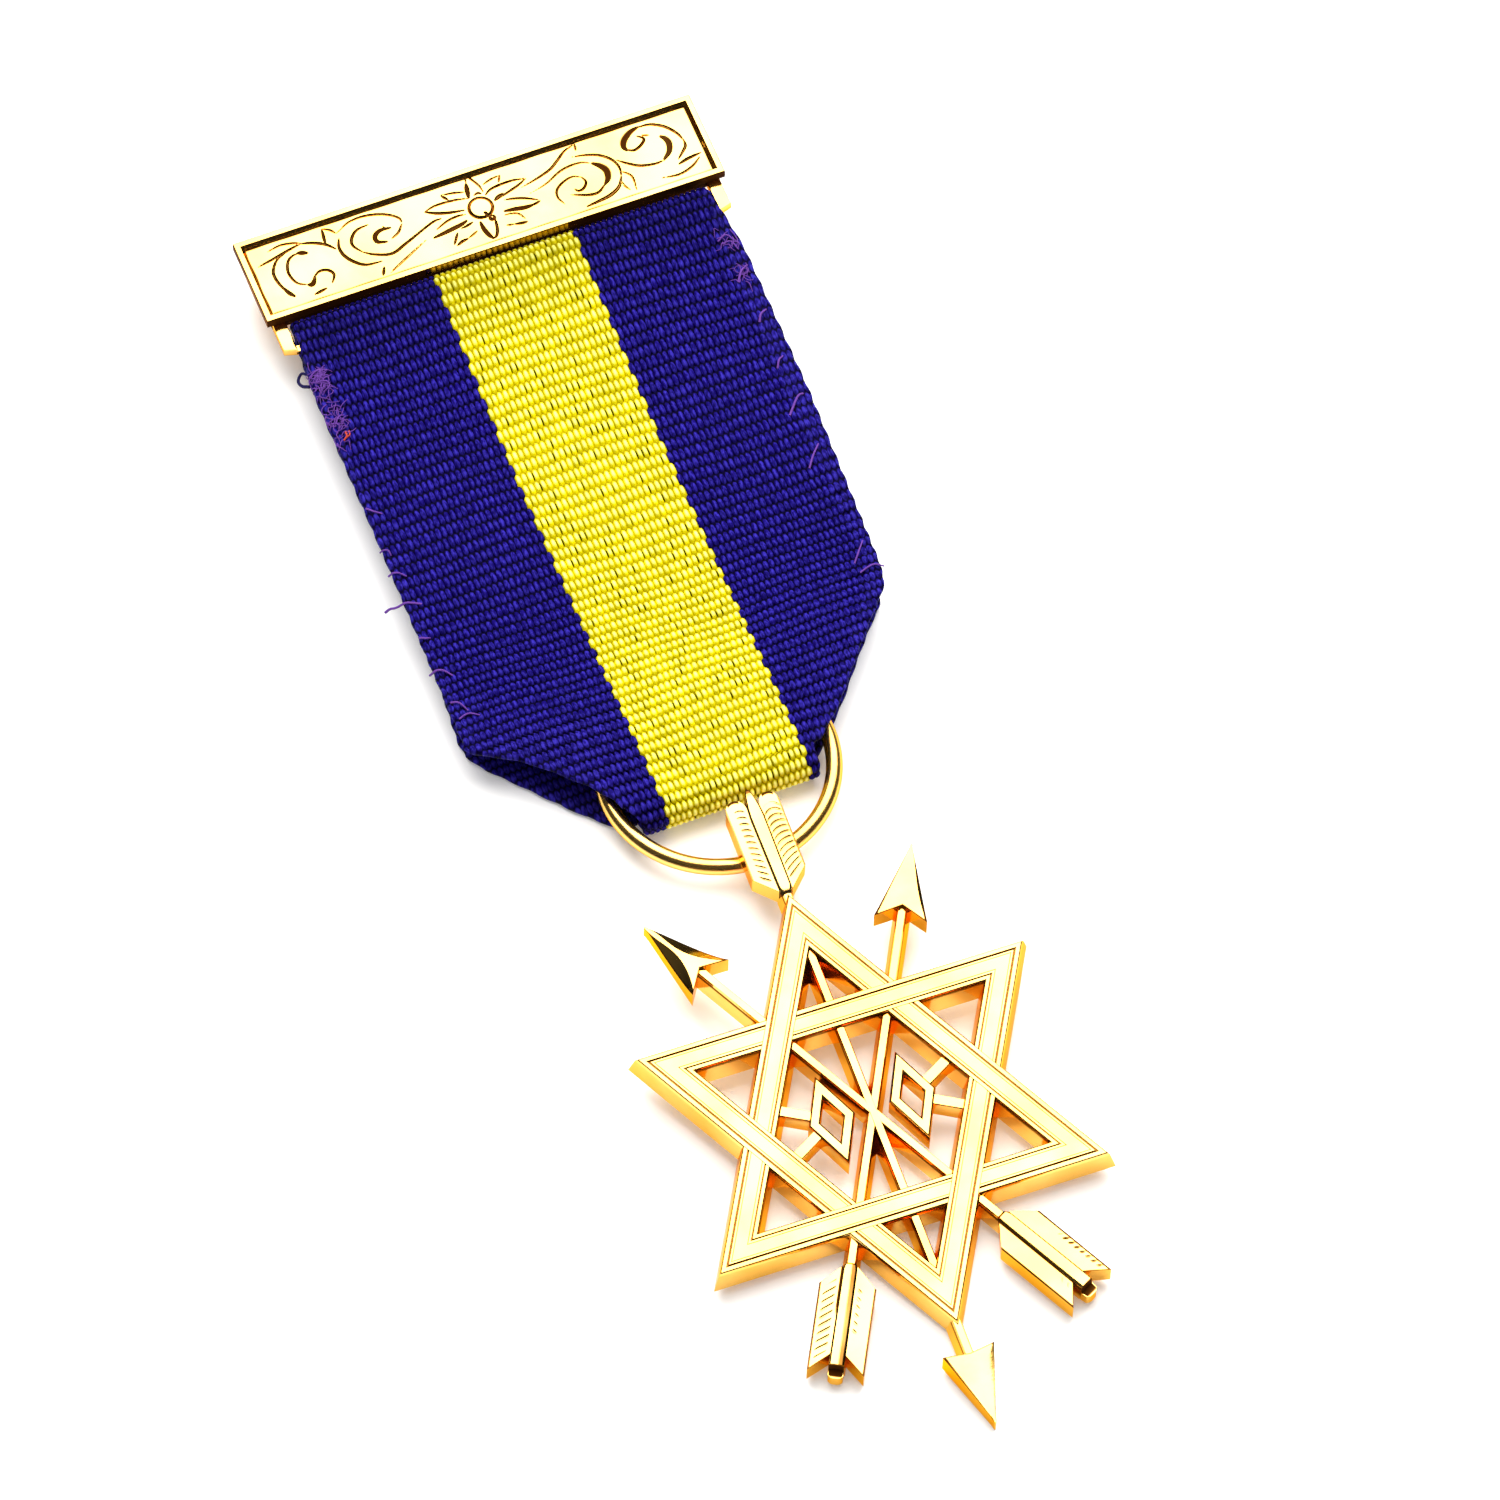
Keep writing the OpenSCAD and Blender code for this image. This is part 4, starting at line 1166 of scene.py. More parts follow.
# %% The grosgrain material
def grosgrain_finish():
    """Thread colours from the weave attribute: x counts threads across, y counts ribs along. Painted
    highlights and painted shade on the ovals, and painted shade on the first ribs under the bar, are
    mixed into the colour.
    """
    material, tree, shader = new_material("grosgrain_ribbon")
    split = tree.nodes.new("ShaderNodeSeparateXYZ")
    tree.links.new(attribute(tree, "weave", "Vector"), split.inputs[0])
    across = split.outputs["X"]
    along = calc(tree, "ADD", split.outputs["Y"], EVEN_RIBS)
    rib = calc(tree, "FLOOR", along)
    lower = calc(tree, "GREATER_THAN", calc(tree, "FRACT", along), 0.5)
    next_rib = calc(tree, "ADD", rib, calc(tree, "MULTIPLY_ADD", lower, 2.0, -1.0))
    own = oval_at(tree, across, along, rib)
    other = oval_at(tree, across, along, next_rib)
    own_off, own_thread, _, own_beside, own_beyond = own
    is_other = calc(tree, "LESS_THAN", other[0], own_off)
    off, thread, middle, beside, beyond = [choose(tree, is_other, a, b) for a, b in zip(own, other)]
    row = choose(tree, is_other, rib, next_rib)
    in_stripe = calc(tree, "MULTIPLY",
                     calc(tree, "GREATER_THAN", middle, STRIPE_LEFT / THREAD),
                     calc(tree, "LESS_THAN", middle, STRIPE_RIGHT / THREAD))
    chance = random_for(tree, thread, row)
    # Painted highlight on the upper part of each oval, where the light from behind the bar falls
    lit = calc(tree, "MULTIPLY",
               soft_step(tree, off, 0.75, 0.15),
               soft_step(tree, beyond, 0.32, -0.05))
    # Painted shade in the gaps and on the lower half of each rib
    dark = calc(tree, "ADD",
                calc(tree, "MULTIPLY", soft_step(tree, beyond, 0.1, 0.52), 0.75),
                soft_step(tree, off, 0.5, 0.95))
    # Painted highlight on the crest of each thread
    crest = calc(tree, "MULTIPLY", lit, soft_step(tree, calc(tree, "ABSOLUTE", beside), 0.42, 0.12))
    streak = soft_step(tree, weave_noise(tree, across, along, 2.2, 1.9, 2), 0.4, 0.62)
    dash = gap_shading(tree, rib, own_thread, own_beside, own_beyond)
    blue = blue_threads(tree, streak, off, dark)
    yellow = yellow_threads(tree, dark, crest, dash)
    colour = blend(tree, in_stripe, blue, yellow)
    fibre = weave_noise(tree, across, along, 5.0, 1.6, 3)
    light = calc(tree, "ADD", calc(tree, "MULTIPLY", chance, 0.34), calc(tree, "MULTIPLY", fibre, 0.7))
    light = calc(tree, "ADD", light, 0.48)
    # Painted shade on the first ribs under the bar
    past_bar_shade = soft_step(tree, along, EVEN_RIBS + 1, EVEN_RIBS + 9)
    light = calc(tree, "MULTIPLY", light, calc(tree, "MULTIPLY_ADD", past_bar_shade, 0.36, 0.64))
    shade = tree.nodes.new("ShaderNodeCombineColor")
    for socket in shade.inputs:
        tree.links.new(light, socket)
    tree.links.new(blend(tree, 1.0, colour, shade.outputs[0], "MULTIPLY"), shader.inputs["Base Color"])
    shader.inputs["Roughness"].default_value = 0.55
    shader.inputs["Specular IOR Level"].default_value = 0.03
    rise = calc(tree, "MULTIPLY_ADD", fibre, 0.15, calc(tree, "SUBTRACT", 1.0, off))
    tree.links.new(bump(tree, rise, RELIEF_BUMP, 0.8), shader.inputs["Normal"])
    return material


grosgrain = grosgrain_finish()
print("ribbon finish:", grosgrain.name)

# %% Weave both plies
front_ply = ply("ribbon_front", front_path, FRONT_LEFT, FRONT_RIGHT, 4, 5, grosgrain, 1.0, 36.0)
back_ply = ply("ribbon_back", back_path, BACK_LEFT, BACK_RIGHT, 2, 4, grosgrain, 0.8, 35.5)
for sheet in (front_ply, back_ply):
    hand_over(sheet, "grosgrain_ribbon", "ribbon")

# %% [markdown]
# ## Loose threads along the edges
# Years of handling have pulled a few warp ends out of the ribbon's edges. They are thinner and
# more violet than the rest, because they have lost their twist, and one tuft holds a red fibre
# from elsewhere. A particle system would scatter them evenly. Each is a short tube of its own.

# %% Threads that stand out
# Each thread: its radius, its colour (0 navy, 0.5 violet, 1 red) and points across and below the
# bar's middle line
EDGE_THREADS = [
    (0.13, 0.0, [(-16.1, 9.4), (-16.5, 9.0), (-16.6, 8.5), (-16.25, 8.2), (-15.95, 8.5)]),
    (0.06, 0.5, [(-15.9, 8.8), (-15.2, 8.5), (-14.5, 8.6)]),
    (0.06, 0.5, [(-15.5, 9.3), (-14.9, 9.5), (-14.8, 9.9), (-15.3, 10.2)]),
    (0.06, 0.5, [(-15.5, 12.9), (-15.1, 12.5), (-14.7, 12.4)]),
    (0.07, 1.0, [(-15.4, 14.3), (-15.1, 14.1), (-15.1, 13.8), (-14.8, 13.8)]),
    (0.05, 1.0, [(-15.2, 14.2), (-14.9, 14.1), (-14.8, 13.7)]),
    (0.07, 0.5, [(-15.9, 19.9), (-15.5, 20.4), (-15.0, 20.7)]),
    (0.06, 0.4, [(-16.2, 23.4), (-15.7, 23.6), (-15.6, 24.0)]),
    (0.07, 0.5, [(-16.3, 25.3), (-15.7, 25.5), (-15.2, 25.9)]),
    (0.10, 0.5, [(-17.3, 27.3), (-17.0, 27.4), (-16.6, 27.7), (-15.9, 27.9), (-15.0, 28.3)]),
    (0.07, 0.5, [(-16.1, 30.7), (-15.7, 31.0), (-15.4, 31.0)]),
    (0.08, 0.5, [(-16.4, 33.5), (-15.6, 33.7), (-15.0, 34.3)]),
    (0.07, 0.5, [(-15.9, 36.2), (-15.4, 36.5), (-15.0, 37.2)]),
    (0.07, 0.5, [(-15.8, 37.6), (-15.1, 37.5), (-14.4, 37.8)]),
    (0.07, 0.4, [(14.4, 8.7), (15.1, 8.5), (15.6, 9.3)]),
    (0.06, 0.5, [(14.6, 9.0), (15.2, 9.1), (15.5, 9.8)]),
    (0.09, 0.5, [(14.5, 12.3), (15.0, 11.6), (15.6, 11.2)]),
    (0.09, 0.5, [(14.7, 15.8), (15.0, 15.3), (15.5, 15.0)]),
    (0.08, 0.5, [(14.5, 19.7), (14.8, 19.2), (15.2, 18.9)]),
    (0.09, 0.5, [(13.9, 23.5), (14.9, 22.4), (15.4, 22.2)]),
    (0.08, 0.5, [(13.6, 27.9), (14.2, 27.1), (14.9, 26.3)]),
    (0.07, 0.5, [(13.7, 36.0), (14.2, 35.4), (14.9, 34.5)]),
    (0.07, 0.5, [(13.8, 36.8), (14.8, 36.6), (15.5, 36.9)]),
]
# Tufts of fine hairs: place across and below the bar's middle line, spread both ways, number
TUFTS = [
    (-15.3, 9.25, 0.32, 0.45, 44), (-15.25, 12.5, 0.3, 0.5, 30), (-15.6, 10.7, 0.12, 0.4, 9),
    (-15.6, 14.2, 0.12, 0.4, 9), (15.05, 8.9, 0.3, 0.25, 12), (15.1, 11.9, 0.25, 0.25, 12),
]
print("threads", len(EDGE_THREADS), "tufts", len(TUFTS))

# %% Shape and finish of a thread
HAIR_R = 0.035
HAIR_STEP = 0.33
HAIRS_FROM = -16.05
HAIRS_TO = 15.7
THREAD_STEPS = 14
THREAD_RISE = 0.16
THREAD_SINK = 0.04
RIBBON_HALF = 16.0
NAVY = (0.004, 0.002, 0.05, 1)
VIOLET = (0.13, 0.04, 0.30, 1)
FIBRE_RED = (0.5, 0.055, 0.03, 1)


def thread_finish():
    """Matt thread whose colour goes from navy by violet to red with the per-point value that the metal
    uses for soot and painted shade.
    """
    material, tree, shader = new_material("edge_thread")
    shade = attribute(tree, "soot_shade_dye", "Fac")
    colour = blend(tree, soft_step(tree, shade, 0.0, 0.5), NAVY, VIOLET)
    colour = blend(tree, soft_step(tree, shade, 0.5, 1.0), colour, FIBRE_RED)
    tree.links.new(colour, shader.inputs["Base Color"])
    shader.inputs["Roughness"].default_value = 0.6
    shader.inputs["Specular IOR Level"].default_value = 0.2
    return material


def loose_thread(radius, shade, points):
    """A tube on a smooth line. Its ends are sunk in the ribbon and its middle stands out by a
    sine. Past the ribbon's edge it hangs lower."""
    line = smooth_line(points, THREAD_STEPS)
    x, down = line.T
    rise = THREAD_RISE * np.sin(np.linspace(0, np.pi, THREAD_STEPS)) - THREAD_SINK
    hang = np.clip(np.abs(x) - RIBBON_HALF, 0, 1.5)
    path = np.stack([x, BAR_Y - down, front_z(-down) + rise - hang], -1)
    skin, faces, _ = tube(path, radius * np.linspace(1, 0.75, THREAD_STEPS), 8)
    return part(skin, faces, shade)


def tuft(across, down, wide, tall, count):
    """Hairs that start round a place, at normally spread distances. Each takes three short steps
    and turns a little at each of them, and none leaves the ribbon."""
    start = [across, down] + rng.normal(size=(count, 1, 2)) * [wide, tall]
    heading = rng.uniform(0, 2 * np.pi, (count, 1)) + np.cumsum(rng.normal(0, 0.8, (count, 3)), 1)
    steps = HAIR_STEP * np.stack([np.cos(heading), np.sin(heading)], -1)
    lines = np.concatenate([start, start + np.cumsum(steps, 1)], 1)
    lines[..., 0] = np.clip(lines[..., 0], HAIRS_FROM, HAIRS_TO)
    shades = rng.uniform(0.3, 0.5, count)
    return [loose_thread(HAIR_R, shade, line) for shade, line in zip(shades, lines)]


# %% Make the threads
rng = np.random.default_rng(11)
hairs = [hair for place in TUFTS for hair in tuft(*place)]
threads = build("edge_threads", [loose_thread(*row) for row in EDGE_THREADS] + hairs, thread_finish())
hand_over(threads, "grosgrain_ribbon", "ribbon")

# %% [markdown]
# ## The ring
# A round wire is bent to a ring and its joint is soldered and polished away. A curve with a round
# bevel would give the same shape. The torus is worked out directly, so that it is one closed skin.

# %% Make the ring
ring_hoop = hoop(RING_AT, RING_R, WIRE_D / 2, 200, 24)
ring = build("suspension_ring_wire", [ring_hoop], ring_gilt)
hand_over(ring, "gilt_metal", "suspension_ring")

# %% [markdown]
# ## Where the star lies
# The star hangs from the ring by a small bail behind its top arrow. Laid on a table, it rests on
# the ring's wire at that end and on the tip of its lowest arrow at the other, so it is tilted by
# three degrees and turned a little. The pieces are drawn flat and put in place by one function.

# %% Put a point of the star in its place
STAR_R = 15.95
# The star is a little longer than a regular one
STAR_STRETCH = 1.056
STAR_TIP_Y = STAR_R * STAR_STRETCH
CAST_T = 1.8
FLETCH_L = 8.3
# How far the solid's lower arrow reaches past the star's tip, down to its foot on the table
LOWER_REACH = 7.9
FOOT_L = STAR_TIP_Y + LOWER_REACH
STAR_TURN = np.radians(-2.05)
BAIL_ROUND = np.radians(3.2)

bail_at = RING_AT[:2] + RING_R * np.array([np.sin(BAIL_ROUND), -np.cos(BAIL_ROUND)])
bail_y = STAR_TIP_Y + FLETCH_L / 2
star_tilt = np.arcsin((RING_AT[2] + WIRE_D / 2 + SLIP) / (bail_y + FOOT_L))
star_reach = (bail_y + FOOT_L) * np.cos(star_tilt) - FOOT_L
star_at = bail_at + star_reach * np.array([np.sin(STAR_TURN), -np.cos(STAR_TURN)])


def lay_star(points):
    """Tilts the star about its foot, turns it on the table and moves it to its place."""
    x, y, z = points.T
    along = (y + FOOT_L) * np.cos(star_tilt) - z * np.sin(star_tilt) - FOOT_L
    up = (y + FOOT_L) * np.sin(star_tilt) + z * np.cos(star_tilt)
    turned_x = x * np.cos(STAR_TURN) - along * np.sin(STAR_TURN)
    turned_y = x * np.sin(STAR_TURN) + along * np.cos(STAR_TURN)
    return np.stack([turned_x + star_at[0], turned_y + star_at[1], up], -1)


print("star at", star_at, "tilted by", np.degrees(star_tilt))

# %% [markdown]
# ## The laced triangles
# Two triangles are cast as one, but they look laced: each side passes over one side of the other
# triangle and under the next. Every side is a straight band with the same profile, a wide face
# between fine double lines. A band is that profile carried along a line, cut by a mitre at both
# tips and cut again where another band passes over it.

# %% The bands' profile
BAND_W = 2.12
# Distance from the outer edge, height below the face, and how dark, from 0 to 1: soot and painted shade
# in the sunk lines, and painted shade and dark reflection on the outer wall and the inner edge
BAND_PROFILE = np.array([
    (-0.22, 1.8, 0.24), (0.0, 0.3, 0.2), (0.03, 0.15, 0), (0.09, 0.05, 0), (0.16, 0.0, 0),
    (0.39, 0.0, 0), (0.41, 0.07, 0.95), (0.53, 0.07, 0.95), (0.56, 0.0, 0),
    (0.66, 0.0, 0), (0.69, 0.03, 0.35), (0.72, 0.0, 0),
    (1.1, -0.012, 0),
    (1.5, 0.0, 0), (1.53, 0.03, 0.35), (1.56, 0.0, 0),
    (1.68, 0.0, 0), (1.7, 0.06, 0.9), (1.78, 0.06, 0.9), (1.81, 0.0, 0),
    (2.0, 0.0, 0), (2.07, 0.04, 0), (2.11, 0.12, 0.4), (2.14, 0.3, 0.4), (2.17, 0.45, 0),
    (2.4, 1.8, 0),
])
# Painted shade: darkness of the lines on an upright band, as a share of that on a level one, since the
# light falls differently on them
UPRIGHT_LINE_SHADE = 0.62
# Where a band passes under another, its drop and how far it is tucked in
UNDER_DROP = 0.05
TUCK = 0.12
print("band", BAND_W, "mm wide, profile of", len(BAND_PROFILE), "points")

# %% Tips and side lines of the star
def star_tip(k):
    """Tip number k of six, clockwise from the top."""
    angle = np.radians(90 - 60 * k)
    return np.array([STAR_R * np.cos(angle), STAR_TIP_Y * np.sin(angle)])


def cross(a, b):
    """The cross product of two flat vectors."""
    return a[..., 0] * b[..., 1] - a[..., 1] * b[..., 0]


def band_line(k):
    """Start, end, direction and inward direction of band k."""
    start, end, third = star_tip(k), star_tip(k + 4), star_tip(k + 2)
    ahead = (end - start) / np.linalg.norm(end - start)
    inward = np.array([-ahead[1], ahead[0]])
    if inward @ (third - start) < 0:
        inward = -inward
    return start, end, ahead, inward


def incentre(a, b, c):
    """Middle of the circle that touches the three sides of a triangle."""
    la, lb, lc = np.linalg.norm(b - c), np.linalg.norm(c - a), np.linalg.norm(a - b)
    return (la * a + lb * b + lc * c) / (la + lb + lc)


print("tips", [star_tip(k).round(2).tolist() for k in range(6)])

# %% One band
def run_to(k, offset, plane_point, plane_direction):
    """How far along band k the line at some offset meets an upright plane."""
    start, _, ahead, inward = band_line(k)
    gap = plane_point - start - offset[:, None] * inward
    return cross(gap, plane_direction) / cross(ahead, plane_direction)


def band_piece(k, first, second, first_drop, second_drop):
    """The profile between two planes, each a point and a direction. A drop lowers the face at that end,
    where another band passes over. Lines are darkest on the bands that run across, a painted shade that
    follows how the light falls on each band."""
    start, _, ahead, inward = band_line(k)
    offset, below, soot_shade_dye = BAND_PROFILE.T
    rings = []
    for (point, direction), drop in ((first, first_drop), (second, second_drop)):
        run = run_to(k, offset, point, direction)
        flat = start + offset[:, None] * inward + run[:, None] * ahead
        z = (CAST_T - below) * (1 - drop / CAST_T)
        rings.append(np.column_stack([flat, z]))
    weight = np.where((offset > 0.3) & (offset < 1.9), UPRIGHT_LINE_SHADE + (1 - UPRIGHT_LINE_SHADE) * ahead[0] ** 2, 1)
    return loft(np.array(rings), np.tile(soot_shade_dye * weight, 2))


def band(k):
    """Band k in two pieces, which leave out the band that passes over it. Each is tucked a little
    way into that band."""
    start, end = band_line(k)[:2]
    middle = incentre(start, end, star_tip(k + 2))
    over_start, _, over_ahead, over_inward = band_line((k + 5) % 6)
    edges = [over_start + TUCK * over_inward, over_start + (BAND_W - TUCK) * over_inward]
    edges.sort(key=lambda edge: run_to(k, np.array([BAND_W / 2]), edge, over_ahead)[0])
    return [
        band_piece(k, (start, middle - start), (edges[0], over_ahead), 0, UNDER_DROP),
        band_piece(k, (edges[1], over_ahead), (end, middle - end), UNDER_DROP, 0),
    ]


# %% Lace the bands
star_parts = [piece for k in range(6) for piece in band(k)]
star = build("star_bands", [moved(p, lay_star) for p in star_parts], gilt, sharp=20)
hand_over(star, "gilt_metal", "pendant")

# %% [markdown]
# ## The three arrows
# Thin shafts cross behind the bands. Their heads are small cut plates with a keel, and their
# fletchings are two swept vanes, hatched by a graver, beside a round ridge. Each is a grid: the
# head fans out from its tip, and a vane is a slanted rectangle with a furrow for each barb.

# %% Shafts
SHAFT_W = 0.62
SHAFT_TOP = 1.55
# Across, in widths, height as a share of the top, and how dark: painted shade and dark reflection along
# the shoulders and at the feet
SHAFT_PROFILE = [
    (-0.95, 0, 0.05), (-0.6, 0.68, 0.05), (-0.56, 0.76, 0.5), (-0.53, 0.82, 0.72), (-0.48, 0.91, 0),
    (-0.36, 0.98, 0), (0, 1.0, 0), (0.36, 0.98, 0),
    (0.48, 0.91, 0), (0.53, 0.82, 0.72), (0.56, 0.76, 0.5), (0.6, 0.68, 0.05), (0.95, 0, 0.05),
]


def shaft(start, end, lower=0.0):
    """A straight bar with a softly rounded top and leaning sides, along y."""
    across, height, soot_shade_dye = np.array(SHAFT_PROFILE).T
    rings = [
        np.column_stack([across * SHAFT_W, np.full(len(across), y), height * (SHAFT_TOP - lower)])
        for y in (start, end)
    ]
    return loft(np.array(rings), np.tile(soot_shade_dye, 2))


# %% Heads
HEAD_HALF = 1.8
TIP_BLUNT = 0.05
TIP_ROUND = 0.12
BARB_FALL = 0.1
BEVEL_MIN = 0.04
BARB_WALL_SHADE = 0.25


def arrow_head(at, length, sweep, bevels, tip_fall, edge_lines, barb_line):
    """A grid from the tip to the barbs. Across it, the keel is flat up to a bevel on each side, which
    is widest in mid length and falls to the edge. For each side, bevels gives the bevel's greatest
    share of the half width, its slope and a power that rounds it, and edge_lines gives how dark the
    edge is painted, a painted dark reflection. barb_line does so for the edge between the barbs, and
    the walls between the barbs get painted shade."""
    u = np.linspace(0, 1, 41)[:, None]
    v = np.linspace(-1, 1, 49)[None]
    half = HEAD_HALF * np.hypot(u, TIP_BLUNT)
    x = v * half
    y = at - u * (length - sweep * (1 - np.abs(v))) - TIP_ROUND * (1 - u) ** 8 * v**2
    widest, fall, curve = np.moveaxis(np.where(v[..., None] < 0, bevels[0], bevels[1]), 2, 0)
    edge = 1 - np.maximum(widest * np.sin(np.pi * u) ** 0.7, BEVEL_MIN)
    share = np.clip((np.abs(v) - edge) / (1 - edge), 0, 1)
    depth = fall * (1 - edge) * half * share**curve
    z = CAST_T - tip_fall * (1 - u) - depth - BARB_FALL * np.abs(v) * u
    soot_shade_dye = np.zeros(z.shape)
    waver = 0.85 + 0.2 * np.sin(7 * u)
    # Painted dark reflection along both edges and between the barbs
    soot_shade_dye[:, :3] = edge_lines[0] * waver
    soot_shade_dye[:, -3:] = edge_lines[1] * waver
    soot_shade_dye[-1] = barb_line
    rows, columns = z.shape
    # Painted shade on the walls between the barbs
    foot = np.zeros(len(edge_loop(rows, columns)))
    foot[rows + columns - 2:rows + 2 * columns - 2] = BARB_WALL_SHADE
    return slab(np.stack([x, y, z], -1), 0.0, soot_shade_dye, foot)


# %% Fletchings
FLETCH_HALF = 1.9
RIDGE_W = 1.08
VANE_DROP = 0.16
VANE_FALL = 0.1
VANE_TUCK = 0.06
FRONT_GAP = 0.3
FRONT_SWEEP = 1.45
BACK_GAP = 1.8
BACK_SWEEP = 1.3
ROUND_GAP = 0.55
ROUND_L = 0.85
BARB_D = 0.045
BARB_SLANT = 0.045


def barb_strokes(u, v, barbs):
    """The graver's strokes and the part of the vane that they reach, each from 0 to 1. A stroke
    is a power of a cosine of the place along, slanted a little, and the reach fades at its ends.
    barbs gives the number of strokes, their reach across and along as shares of the vane, how
    dark they are and that power."""
    count, across_low, across_high, along_low, along_high, _, sharp = barbs
    slanted = u + BARB_SLANT * v
    stroke = (0.5 + 0.5 * np.cos(2 * np.pi * (slanted * count + 0.5))) ** sharp
    reach = np.clip((v - across_low) * 8, 0, 1) * np.clip((across_high - v) * 8, 0, 1)
    reach = reach * np.clip((u - along_low) * 12, 0, 1) * np.clip((along_high - u) * 12, 0, 1)
    return stroke, reach


def vane(side, nock, length, barbs, inner_shade, round_end):
    """A swept rectangle beside the ridge, with a furrow for each stroke. Its back end is slanted like
    its front, or else it is part of an ellipse. inner_shade says how far along the vane painted shade
    lies beside the ridge. The front row, the outer edge and the back end get painted shade and dark
    reflection as well."""
    u = np.linspace(0, 1, 141)[:, None]
    v = np.linspace(0, 1, 19)[None]
    inner, outer = RIDGE_W / 2 - VANE_TUCK, FLETCH_HALF
    front = nock - length + FRONT_GAP + FRONT_SWEEP * v
    back = nock - BACK_GAP + BACK_SWEEP * v
    if round_end:
        back = nock - ROUND_GAP - ROUND_L * (1 - np.sqrt(1 - 0.98 * (2 * v - 1) ** 2))
    x = inner + v * (outer - inner) + 0 * u
    y = front + u * (back - front)
    soot_and_shade = barbs[5]
    stroke, reach = barb_strokes(u, v, barbs)
    z = CAST_T - VANE_DROP - VANE_FALL * v**2 - BARB_D * stroke * reach
    soot_shade_dye = soot_and_shade * stroke * reach * (0.75 + 0.25 * np.sin(9 * u + 5 * v))
    # Painted shade and dark reflection on the front row, the outer edge, the back end and beside the
    # ridge
    soot_shade_dye[0] = 0.8 if round_end else 0.5
    soot_shade_dye[:, -2:] = np.maximum(soot_shade_dye[:, -2:], 0.45 if round_end else 0.85)
    if round_end:
        soot_shade_dye = np.maximum(soot_shade_dye, np.clip((u - 0.965) * 60, 0, 1) * (v > 0.25) * (v < 0.8))
    else:
        soot_shade_dye = np.maximum(soot_shade_dye, 0.75 * (u > 0.988))
        soot_shade_dye = np.maximum(soot_shade_dye, np.clip((inner_shade - u) * 6, 0, 1) * (v < 0.06))
    top = np.stack([x, y + 0 * z, z], -1)
    if side < 0:
        top = (top * [-1, 1, 1])[:, ::-1]
        soot_shade_dye = soot_shade_dye[:, ::-1]
    return slab(top, 0.0, soot_shade_dye)


# %% Ridges, and a whole fletching
# Rings of a ridge at its nock: distance from it, width share, height of the sides, rise, painted shade
POINTED_NOCK = [
    (0, 0.1, 1.6, 0.1, 1), (0.12, 0.28, 1.6, 0.14, 1), (0.4, 0.5, 1.6, 0.18, 0.4),
    (0.9, 0.72, 1.6, 0.2, 0), (1.5, 0.9, 1.6, 0.2, 0), (2.2, 1, 1.6, 0.2, 0),
]
NOTCHED_NOCK = [
    (0.36, 0.25, 1.0, 0, 0), (0.4, 0.6, 1.0, 0, 0), (0.55, 0.92, 1.0, 0, 0.9), (0.96, 1, 1.0, 0, 1),
    (1.0, 0.98, 1.5, 0.1, 1), (1.04, 0.98, 1.6, 0.2, 0.3), (1.12, 1, 1.6, 0.2, 0),
    (2.2, 1, 1.6, 0.2, 0),
]
TAN_SHADE = 0.46


def ridge(nock, length, dark_side, tan_side, rings_at_nock):
    """A low flat arch between the vanes: its height is the root of 1 minus the fourth power of the
    place across. It is rounded in front, and painted shade lies beside it and in the notch. dark_side
    is the side with the blacker line of painted shade, and a tan_side other than 0 is the side that
    gets a tan painted shade."""
    front = [
        (length - 0.6, 0.92, 1.6, 0.2, 0), (length - 0.2, 0.75, 1.6, 0.1, 0),
        (length, 0.55, 1.5, 0, 0),
    ]
    across = np.sin(np.radians(np.linspace(-90, 90, 21)))
    # Painted shade along both sides of the ridge, darkest on dark_side and tan on tan_side, since the
    # light falls differently on each side
    dark = across * dark_side
    side_shade = np.where(dark > 0.985, 1.0, 0) + np.where(dark < -0.995, 0.5, 0)
    side_shade = np.maximum(side_shade, TAN_SHADE * np.clip(4 * across * tan_side, 0, 1))
    rings = []
    soot_and_shade = []
    for distance, share, side_z, rise, black in rings_at_nock + front:
        x = RIDGE_W / 2 * share * np.concatenate([[-1], across, [1]])
        z = np.concatenate([[0], side_z + rise * np.sqrt(1 - across**4), [0]])
        rings.append(np.column_stack([x, np.full(len(x), nock - distance), z]))
        rim = black * (np.abs(across) < 0.93) if side_z < 1.5 else np.maximum(side_shade, black)
        soot_and_shade.append(np.concatenate([[0.05], rim, [0.05]]))
    return loft(np.array(rings), np.array(soot_and_shade))


def fletching(nock, length, dark_side, first_barbs, second_barbs,
              inner_shade=0.0, tan_side=0, round_end=False):
    """The vane at negative x, the vane at positive x and the ridge."""
    rings_at_nock = POINTED_NOCK if round_end else NOTCHED_NOCK
    return [
        vane(-1, nock, length, first_barbs, 0.0, round_end),
        vane(1, nock, length, second_barbs, inner_shade, round_end),
        ridge(nock, length, dark_side, tan_side, rings_at_nock),
    ]


# %% Put the arrows together
LEFT_ANGLE = 28.6
RIGHT_ANGLE = -27.1
CROSS_DROP = 0.2
LEFT_TIP = 20.6
RIGHT_TIP = 20.4
SLANT_TAIL = 19.9
SLANT_FLETCH_L = 8.6
HEAD_L = 6.05
BARB_SWEEP = 1.0
TIP_FALL = 0.7
# How far a shaft runs into its head, and the upright one past the star's tip
NECK_TUCK = 0.2
NOCK_TUCK = 0.3
LOWER_HEAD_L = 5.3
LOWER_SWEEP = 0.3
# The lower head ends a little short of the solid's
LOWER_SHORT = 0.65
LOWER_TIP = FOOT_L - LOWER_SHORT
LOWER_FALL = 0.58


